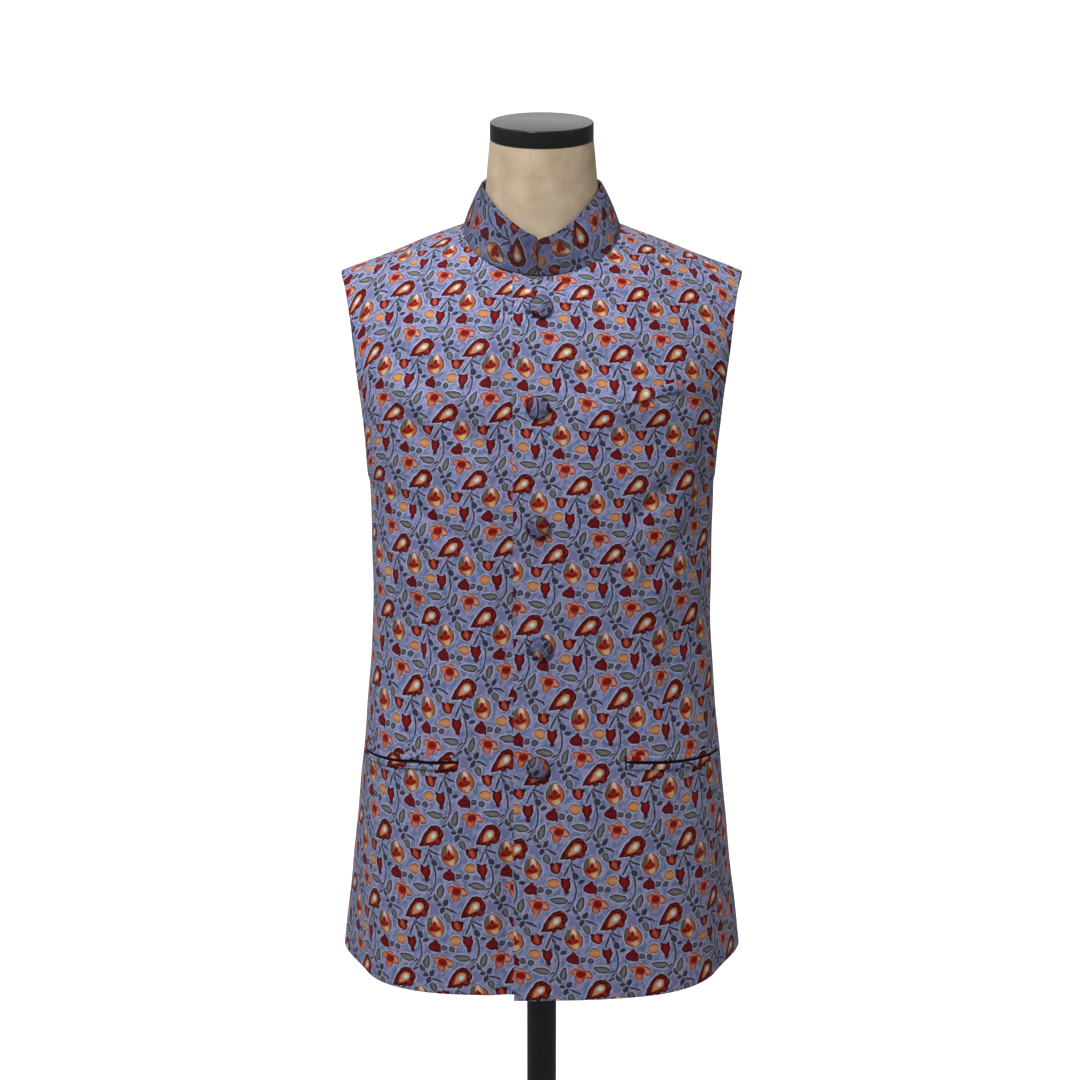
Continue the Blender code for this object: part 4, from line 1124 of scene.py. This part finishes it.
def cotton_sheet(name, mesh, places, repeats, finishes, wall, edge, node):
    """A cloth surface made into a finished sheet: its maps, its wall inward, and its cut edges softened.

    The second of its finishes is for the wrong side.
    """
    lay_cloth_map(mesh, "cloth", places)
    lay_cloth_map(mesh, "repeat", repeats)
    for finish in finishes:
        mesh.materials.append(finish)
    piece = place_object(name, mesh)
    solidify = piece.modifiers.new("wall", "SOLIDIFY")
    solidify.thickness = wall
    solidify.offset = -1.0
    solidify.use_even_offset = True
    solidify.material_offset = 1
    bevel = piece.modifiers.new("soft_edges", "BEVEL")
    bevel.width = edge
    bevel.segments = 2
    bevel.limit_method = "ANGLE"
    bevel.angle_limit = math.radians(55)
    finish_piece(piece, "printed_cloth", node)
    return piece


def make_panel(name, rows, creases, cut, node):
    """A cloth panel: its surface with the creases pushed in, as a sheet. Returns it and its points' grid."""
    mesh = cloth_mesh(name, [[point for point, _, _ in row] for row in rows])
    places = [(u, v) for row in rows for _, u, v in row]
    normals = [vertex.normal.copy() for vertex in mesh.vertices]
    for vertex, normal in zip(mesh.vertices, normals):
        x, _, z = vertex.co
        ripple = RIPPLE * math.sin(x * 61 + z * 23) * math.sin(z * 47 - x * 19)
        vertex.co += normal * (crease_offset(creases, x, z) + ripple)
    mesh.update()
    finishes = (printed_cotton, cotton_wrong_side)
    piece = cotton_sheet(name, mesh, places, cut_from_print(places, cut), finishes, WALL, PANEL_EDGE, node)
    points = [vertex.co.copy() for vertex in mesh.vertices]
    count = len(rows[0])
    return piece, [points[row * count:(row + 1) * count] for row in range(len(rows))]


# The creases of a panel. Columns: x and height of one end and of the other, depth of the trough
# (less than nothing for a ridge), half width.
BACK_CREASES = (
    (0.060, 1.330, 0.155, 1.250, 0.0044, 0.013),
    (-0.070, 1.340, -0.150, 1.240, 0.0038, 0.012),
    (0.020, 1.020, 0.060, 0.760, 0.0042, 0.014),
    (-0.050, 1.050, -0.075, 0.740, 0.0048, 0.015),
    (-0.010, 1.130, 0.110, 1.090, 0.0030, 0.011),
    (-0.020, 1.110, -0.130, 1.060, 0.0028, 0.010),
    (0.120, 1.000, 0.135, 0.800, 0.0038, 0.012),
)
back_half = half_panel((0.0,), True, lambda share: HEM_HEIGHT)
back_rows = []
for left_row, right_row in zip(mirrored(back_half), back_half):
    whole_row = right_row[::-1] + left_row[::-1][1:]
    back_rows.append([(p, -u, v) for p, u, v in whole_row])
BACK_CUT = ((0.30, 17.3, -5.5, 0.0, 0.0, 0.0), (0.20, 0.0, -13.5, 0.0, 0.0, 0.0))
back, _ = make_panel("back_cloth", back_rows, BACK_CREASES, BACK_CUT, "back")


# ---- The two fronts ----
# The wearer's right front lies beneath and the left front laps over it down the middle, so its pressed edge
# shows from the neck to the hem. Each is cut in one piece, with its edge turned in and pressed.
FRONT_LAP = 0.0290           # how far the left front reaches past the middle
UNDER_LAP = 0.0220           # and how far the right front does beneath it
LAP_GAP = 0.0008
RECESS_MARGIN = 0.0100       # the right front lies a cloth's thickness deeper until this far past the lap
RECESS_RUN = 0.0160          # and comes out again over this
HEM_LEVEL_FROM = 0.83        # the share of the way to the side seam where the hem is level
TOP_HEM_DROP = 0.0045
UNDER_HEM_RISE = 0.0015
MIDDLE_COLUMNS = (-0.020, -0.016, -0.012, -0.008, -0.004, 0.0)

UNDER_FRONT_CREASES = (
    (-0.160, 1.322, -0.040, 1.314, -0.0058, 0.030),
    (-0.150, 1.372, -0.052, 1.262, 0.0052, 0.014),
    (-0.166, 1.330, -0.100, 1.262, 0.0034, 0.010),
    (-0.127, 1.125, -0.131, 0.915, 0.0046, 0.012),
    (-0.033, 1.440, -0.033, 0.672, 0.0014, 0.0030),
    (-0.037, 0.850, -0.038, 0.690, 0.0034, 0.006),
    (-0.060, 1.000, -0.075, 0.740, 0.0032, 0.014),
    (-0.150, 1.215, -0.060, 1.165, 0.0028, 0.010),
    (-0.165, 1.150, -0.120, 1.075, 0.0026, 0.009),
)
TOP_FRONT_CREASES = (
    (0.025, 1.314, 0.150, 1.324, -0.0058, 0.030),
    (-0.026, 1.434, 0.034, 1.430, 0.0040, 0.010),
    (0.090, 1.345, 0.160, 1.305, 0.0038, 0.011),
    (0.062, 1.375, 0.120, 1.352, 0.0024, 0.009),
    (0.165, 1.262, 0.085, 1.190, 0.0036, 0.012),
    (0.160, 1.190, 0.100, 1.120, 0.0028, 0.011),
    (0.168, 1.330, 0.158, 1.130, 0.0036, 0.012),
    (0.070, 0.910, 0.085, 0.735, 0.0034, 0.015),
    (0.125, 1.060, 0.140, 0.965, 0.0030, 0.013),
    (0.022, 0.870, 0.030, 0.720, 0.0022, 0.010),
)


def front_hem(rise):
    """The height of a front's hem at a share of the way to its side seam, raised at the centre front."""
    return lambda share: HEM_HEIGHT + rise * (1 - ease(share / HEM_LEVEL_FROM))


under_half = half_panel((-UNDER_LAP, -0.0215, *MIDDLE_COLUMNS), False, front_hem(UNDER_HEM_RISE))
under_rows = []
for row in under_half:
    line = []
    for point, across, up in row:
        depth = (WALL + LAP_GAP) * (1 - ease((point.x - FRONT_LAP - RECESS_MARGIN) / RECESS_RUN))
        if depth > 0:
            point = point - surface_normal(point.x, point.z, False) * depth
        line.append((point, across, up))
    under_rows.append(line)
UNDER_CUT = ((4.382, 17.865, -6.171, -6.599, 2.416, -4.553), (3.487, 0.792, -13.99, -4.315, -0.853, -4.572))
under_front, under_grid = make_panel(
    "right_front_cloth", mirrored(under_rows), UNDER_FRONT_CREASES, UNDER_CUT, "front_right"
)

top_half = half_panel(
    (-FRONT_LAP, -0.0285, -0.027, -0.024, *MIDDLE_COLUMNS), False, front_hem(-TOP_HEM_DROP)
)
TOP_CUT = ((0.482, 17.081, -5.703, 0.379, 2.105, 3.706), (3.378, -0.471, -13.71, -5.156, -1.426, -6.027))
top_front, top_grid = make_panel("left_front_cloth", top_half, TOP_FRONT_CREASES, TOP_CUT, "front_left")


# ---- The band collar ----
# One interlined strip of the same cotton, cut across the print, sewn to the neckline and standing up round
# the neck. Its two ends meet edge to edge in front, where its top edge dips in a V with rounded corners.
COLLAR_GAP = 0.0007
COLLAR_SEAM_X = -0.0040
COLLAR_TOP_HALF_WIDTH = 0.0612
COLLAR_TOP_FRONT = 0.0555
COLLAR_TOP_BACK = 0.0560
COLLAR_TOP_SIDE_HEIGHT = 1.5160
COLLAR_TOP_FRONT_HEIGHT = 1.4735
COLLAR_TOP_BACK_HEIGHT = 1.5190
COLLAR_FRONT_POWER = 1.4
COLLAR_BACK_POWER = 1.4
COLLAR_BULGE = 0.0012
COLLAR_CORNER = 0.0110       # length of the rounded corners at the ends
COLLAR_CORNER_DROP = 0.55    # and their depth, as a share of it
COLLAR_TURNS = 170
COLLAR_ROWS = 12
COLLAR_EVEN = 0.55           # how evenly its columns are spread; the rest of the way they crowd to its ends
COLLAR_LENGTH = 0.44
COLLAR_END_REACH = 0.012     # how far from its ends it straightens to meet edge to edge
COLLAR_END_SHADE = 0.060     # and how far from them painted shade darkens it
COLLAR_GRAIN = Matrix.Rotation(math.radians(116), 2)     # how the strip lay on the print
COLLAR_BUD = Vector((0.049, 0.031))                      # and where one big bud lies on it

collar_start = math.degrees(math.asin((COLLAR_SEAM_X + SEAM_GAP) / NECK_HALF_WIDTH))
collar_stop = 360 + math.degrees(math.asin((COLLAR_SEAM_X - SEAM_GAP) / NECK_HALF_WIDTH))
collar_rows = [[] for _ in range(COLLAR_ROWS + 1)]
collar_across = 0.0
collar_before = None
for step in range(COLLAR_TURNS + 1):
    share = step / COLLAR_TURNS
    share = COLLAR_EVEN * share + (1 - COLLAR_EVEN) * (1 - math.cos(math.pi * share)) / 2
    turn = collar_start + (collar_stop - collar_start) * share
    sine, cosine = math.sin(math.radians(turn)), math.cos(math.radians(turn))
    foot = neckline(math.degrees(math.acos(cosine)))
    foot.x = NECK_HALF_WIDTH * sine
    foot.z += COLLAR_GAP
    if collar_before is not None:
        collar_across += (foot - collar_before).length
    collar_before = foot
    away = 1 - abs(sine) ** COLLAR_FRONT_POWER if cosine > 0 else abs(cosine) ** COLLAR_BACK_POWER
    depth = COLLAR_TOP_FRONT if cosine > 0 else COLLAR_TOP_BACK
    end_height = COLLAR_TOP_FRONT_HEIGHT if cosine > 0 else COLLAR_TOP_BACK_HEIGHT
    height = COLLAR_TOP_SIDE_HEIGHT + (end_height - COLLAR_TOP_SIDE_HEIGHT) * away
    from_end = min(share, 1 - share) * COLLAR_LENGTH
    near_end = 1 - ease(from_end / COLLAR_END_REACH)
    meeting_x = COLLAR_SEAM_X + (SEAM_GAP if share < 0.5 else -SEAM_GAP)
    top_x = COLLAR_TOP_HALF_WIDTH * sine
    top_x += (meeting_x - top_x) * near_end
    corner = max(1 - from_end / COLLAR_CORNER, 0.0)
    height -= COLLAR_CORNER * COLLAR_CORNER_DROP * (1 - math.sqrt(1 - corner ** 2))
    top = Vector((top_x, -depth * cosine + RIDGE_Y * (1 - abs(cosine)), height))
    middle = (foot + top) / 2
    outward = Vector((middle.x * (1 - near_end), middle.y, 0.0)).normalized()
    for row in range(COLLAR_ROWS + 1):
        rise = row / COLLAR_ROWS
        point = foot.lerp(top, rise) + outward * (COLLAR_BULGE * 4 * rise * (1 - rise))
        collar_rows[row].append((point, collar_across, (top - foot).length * rise))
collar_mesh = cloth_mesh("collar_band", [[point for point, _, _ in row] for row in collar_rows])
collar_places = [(across, up) for row in collar_rows for _, across, up in row]
collar_repeats = [in_repeats(*(COLLAR_GRAIN @ (Vector(place) - COLLAR_BUD))) for place in collar_places]
# The band takes a darker copy of the printed cotton, tinted to under half, as painted shade. Painted shade
# darkens it further towards its two ends in front. Its inside and its cut edges keep the untinted cotton, so
# its top edge reads lighter, a painted highlight.
collar_cotton_painted_shade, collar_tree, collar_shader, collar_colour = cotton(
    "printed_cotton_collar_painted_shade", 0.0, (0.44, 0.45, 0.48, 1.0)
)
collar_split = add_node(collar_tree, "SeparateXYZ", (0, flat_place(collar_tree, "cloth")))
collar_off = calculate(collar_tree, "SUBTRACT", collar_split.outputs[0], collar_across / 2)
collar_off = calculate(collar_tree, "ABSOLUTE", collar_off)
collar_end_shade_mask = soft_step(collar_tree, collar_off, collar_across / 2 - COLLAR_END_SHADE, collar_across / 2)
collar_painted_shade = mix_colours(collar_tree, 1.0, collar_colour, (0.52, 0.50, 0.52, 1.0), "MULTIPLY")
collar_colour_with_painted_shade = mix_colours(collar_tree, collar_end_shade_mask, collar_colour, collar_painted_shade)
feed(collar_tree, collar_shader, ("Base Color", collar_colour_with_painted_shade))
collar = cotton_sheet(
    "collar_band", collar_mesh, collar_places, collar_repeats, (collar_cotton_painted_shade, printed_cotton), WALL, 0.0007,
    "collar",
)


# ---- The hip pockets and the chest welt ----
# Each hip pocket is a slit between two folded lips of the same cotton, squared off at both ends.
# The chest welt is one folded strip, sewn down along its lower edge.
POCKET_START_X = 0.087
POCKET_LENGTH = 0.136
POCKET_HEIGHTS = (0.938, 0.922)
LIP_HEIGHT = 0.0065
LIP_THICKNESS = 0.0014
LIP_SLIT = 0.0024
LIP_GAPE = 0.0007            # how far a lip hangs open near its inner end
LIP_GAPE_FROM = 0.10         # the share of its length where it hangs open most
WELT_START_X = 0.082
WELT_LENGTH = 0.062
WELT_HEIGHTS = (1.3255, 1.3335)
WELT_WIDTH = 0.0100
LAY_GAP = 0.0004
STRIP_STEP = 0.0020          # spacing of the points along a strip
STRIP_ROWS = 7
STRIP_CROWN = 0.0010         # how far a folded strip bulges
STRIP_EDGE = 0.0005          # how much its edges are softened
STRIP_END = 0.003            # how far from its ends it flattens
SLOPE_REACH = 0.004          # how far up and down a panel's slope is taken
COLUMN_STEP = 0.1            # how finely a line is followed over a panel's columns


def grid_point(grid, column, height):
    """The point of a panel's grid at a column, which may lie between two, and a height."""
    first = min(int(column), len(grid[0]) - 2)
    t = column - first
    low, high = 0, len(grid) - 1
    while high - low > 1:
        middle = (low + high) // 2
        if grid[middle][first].z * (1 - t) + grid[middle][first + 1].z * t <= height:
            low = middle
        else:
            high = middle
    below = grid[low][first].lerp(grid[low][first + 1], t)
    above = grid[high][first].lerp(grid[high][first + 1], t)
    return below.lerp(above, (height - below.z) / (above.z - below.z))


def lie_on(grid, start_x, length, heights):
    """Columns of a panel along a line that lies on it, every strip step, with the share of the line gone."""
    outward = 1 if start_x > 0 else -1
    middle = (heights[0] + heights[1]) / 2
    column = 0.0
    while grid_point(grid, column, middle).x < start_x:
        column += COLUMN_STEP
    stops = [(column, 0.0)]
    gone = 0.0
    last = 0.0
    point = grid_point(grid, column, middle)
    while gone < length:
        column += COLUMN_STEP * outward
        after = grid_point(grid, column, middle)
        gone += (after - point).length
        point = after
        if gone - last >= STRIP_STEP:
            stops.append((column, min(gone / length, 1.0)))
            last = gone
    return stops


def laid_strip(name, grid, start_x, length, heights, lower, upper, crown, node, cut, slip, gape=0.0):
    """A folded strip on a panel, from its line's lower to its upper edge; crown is where it stands highest.

    It is cut like its panel, and slip is how far its print lies from the panel's, across and up. Gape is how
    far its lower edge, or its upper one if less than nothing, hangs open near the inner end.
    """
    start_across = length_across(start_x, heights[0], False)
    rows = [[] for _ in range(STRIP_ROWS + 1)]
    stops = lie_on(grid, start_x, length, heights)
    if start_x < 0:
        stops.reverse()
    for column, share in stops:
        level = heights[0] + (heights[1] - heights[0]) * share
        along = grid_point(grid, column + 0.5, level) - grid_point(grid, column - 0.5, level)
        end_round = min(share, 1 - share) * length
        parted = ease(share / LIP_GAPE_FROM) * (1 - share)
        for row in range(STRIP_ROWS + 1):
            rise = row / STRIP_ROWS
            height = level + lower + (upper - lower) * rise + gape * parted * (1 - rise if gape > 0 else rise)
            point = grid_point(grid, column, height)
            above = grid_point(grid, column, height + SLOPE_REACH)
            up = above - grid_point(grid, column, height - SLOPE_REACH)
            bulge = STRIP_CROWN * (1 - abs(rise - crown) ** 1.5) * ease(end_round / STRIP_END + 0.4)
            lifted = point + along.cross(up).normalized() * (LAY_GAP + LIP_THICKNESS + bulge)
            across = start_across + math.copysign(share * length, start_x) + slip[0]
            rows[row].append((lifted, across, height - UNDERARM_HEIGHT + slip[1]))
    mesh = cloth_mesh(name, [[point for point, _, _ in row] for row in rows])
    places = [(across, up) for row in rows for _, across, up in row]
    repeats = cut_from_print(places, cut)
    finishes = (printed_cotton, printed_cotton)
    piece = cotton_sheet(name, mesh, places, repeats, finishes, LIP_THICKNESS, STRIP_EDGE, node)


# Near black: a painted shade for the shadowed opening between a pocket's lips.
pocket_mouth_painted_shade, mouth_shade_tree, mouth_shade_shader = new_material("pocket_mouth_painted_shade")
mouth_shade_weave = weave_node(mouth_shade_tree, flat_place(mouth_shade_tree, "cloth"), 1500.0, 0.5)
mouth_shade_colour = mix_colours(mouth_shade_tree, mouth_shade_weave.outputs["Shade"], srgb(14, 12, 20), srgb(26, 22, 34))
feed(mouth_shade_tree, mouth_shade_shader, ("Base Color", mouth_shade_colour), ("Roughness", 0.9))


def paint_mouth_shade(panel, grid, start_x):
    """Give the cloth behind a pocket's slit a near-black finish, a painted shade for the pocket's opening."""
    mesh = panel.data
    mesh.materials.append(pocket_mouth_painted_shade)
    mesh.materials.append(cotton_wrong_side)
    mouth_shade_slot = len(mesh.materials) - 2
    for column, share in lie_on(grid, start_x, POCKET_LENGTH, POCKET_HEIGHTS):
        level = POCKET_HEIGHTS[0] + (POCKET_HEIGHTS[1] - POCKET_HEIGHTS[0]) * share
        for height in (level - LIP_SLIT, level, level + LIP_SLIT):
            first = int(column)
            row = sum(1 for line in grid if line[first].z < height) - 1
            mesh.polygons[row * (len(grid[0]) - 1) + first].material_index = mouth_shade_slot


half_slit = LIP_SLIT / 2
for side, panel, grid, start, cut in (
    ("left", top_front, top_grid, POCKET_START_X, TOP_CUT),
    ("right", under_front, under_grid, -POCKET_START_X, UNDER_CUT),
):
    paint_mouth_shade(panel, grid, start)
    lips = (
        ("upper", half_slit, half_slit + LIP_HEIGHT, 0.35, (0.0045, 0.0030), LIP_GAPE),
        ("lower", -half_slit - LIP_HEIGHT, -half_slit, 0.65, (-0.0035, -0.0025), -LIP_GAPE),
    )
    for lip, lower, upper, crown, slip, gape in lips:
        laid_strip(
            f"hip_pocket_{side}_{lip}_lip", grid, start, POCKET_LENGTH, POCKET_HEIGHTS,
            lower, upper, crown, f"hip_lip_{side}_{lip}", cut, slip, gape,
        )
laid_strip(
    "chest_welt_cloth", top_grid, WELT_START_X, WELT_LENGTH, WELT_HEIGHTS,
    -WELT_WIDTH / 2, WELT_WIDTH / 2, 0.5, "chest_welt", TOP_CUT, (0.0163, -0.0257),
)


# ---- The buttons ----
# Five domed moulds covered with the same cotton, gathered beneath over a metal shank, and sewn through the
# left front. They stay fastened.
BUTTON_RADIUS = 0.0120
BUTTON_HEIGHT = 0.0072
BUTTON_SHANK = 0.0014
BUTTON_PLACES = ((-0.001, 1.412), (-0.004, 1.317), (-0.004, 1.195), (-0.001, 1.064), (-0.004, 0.935))
BUTTON_STEPS = 48
BUTTON_DOME_STEPS = 12
BUTTON_RIM = 0.0030          # height at which the dome meets its gathered rim
BUTTON_DOME = 0.78           # the share of its radius out to which it has no painted shade at its rim

button_profile = [(0.0, BUTTON_HEIGHT)]
for step in range(1, BUTTON_DOME_STEPS + 1):
    angle = math.pi / 2 * step / BUTTON_DOME_STEPS
    rise = (BUTTON_HEIGHT - BUTTON_RIM) * math.cos(angle)
    button_profile.append((BUTTON_RADIUS * math.sin(angle), BUTTON_RIM + rise))
button_profile += [(0.01195, 0.0027), (0.0117, 0.0021), (0.0111, 0.0018), (0.0100, 0.0016)]
button_profile += [(0.0042, BUTTON_SHANK), (0.0040, BUTTON_SHANK - 0.0002), (0.0040, 0.0), (0.0, 0.0)]
# The buttons take a darker copy of the printed cotton, tinted to about half, as painted shade. Painted shade
# darkens each further towards its rim, round the edge of the dome.
button_cotton, button_tree, button_shader, button_print = cotton(
    "covered_button_cotton", 0.0, (0.52, 0.50, 0.52, 1.0), 0.45
)
button_reach = vector_maths(button_tree, "LENGTH", flat_place(button_tree, "cloth")).outputs["Value"]
button_rim_shade_mask = soft_step(button_tree, button_reach, BUTTON_RADIUS * BUTTON_DOME, BUTTON_RADIUS)
button_rim_painted_shade = mix_colours(button_tree, 1.0, button_print, (0.22, 0.22, 0.26, 1.0), "MULTIPLY")
button_colour_with_painted_shade = mix_colours(button_tree, button_rim_shade_mask, button_print, button_rim_painted_shade)
feed(button_tree, button_shader, ("Base Color", button_colour_with_painted_shade))
for number, (x, height) in enumerate(BUTTON_PLACES, 1):
    button = turned(f"covered_button_{number}", button_profile, BUTTON_STEPS)
    places = [(vertex.co.x, vertex.co.y) for vertex in button.data.vertices]
    lay_cloth_map(button.data, "cloth", places)
    shift = (0.011 * number, 0.017 * number)
    lay_cloth_map(button.data, "repeat", [in_repeats(u + shift[0], v + shift[1]) for u, v in places])
    button.data.materials.append(button_cotton)
    normal = surface_normal(x, height, False)
    seat = Vector((x, surface_y(x, height, False), height))
    button.location = seat + normal * LAY_GAP
    button.rotation_mode = "QUATERNION"
    button.rotation_quaternion = Vector((0.0, 0.0, 1.0)).rotation_difference(normal)
    finish_piece(button, "covered_button", f"button_{number}")
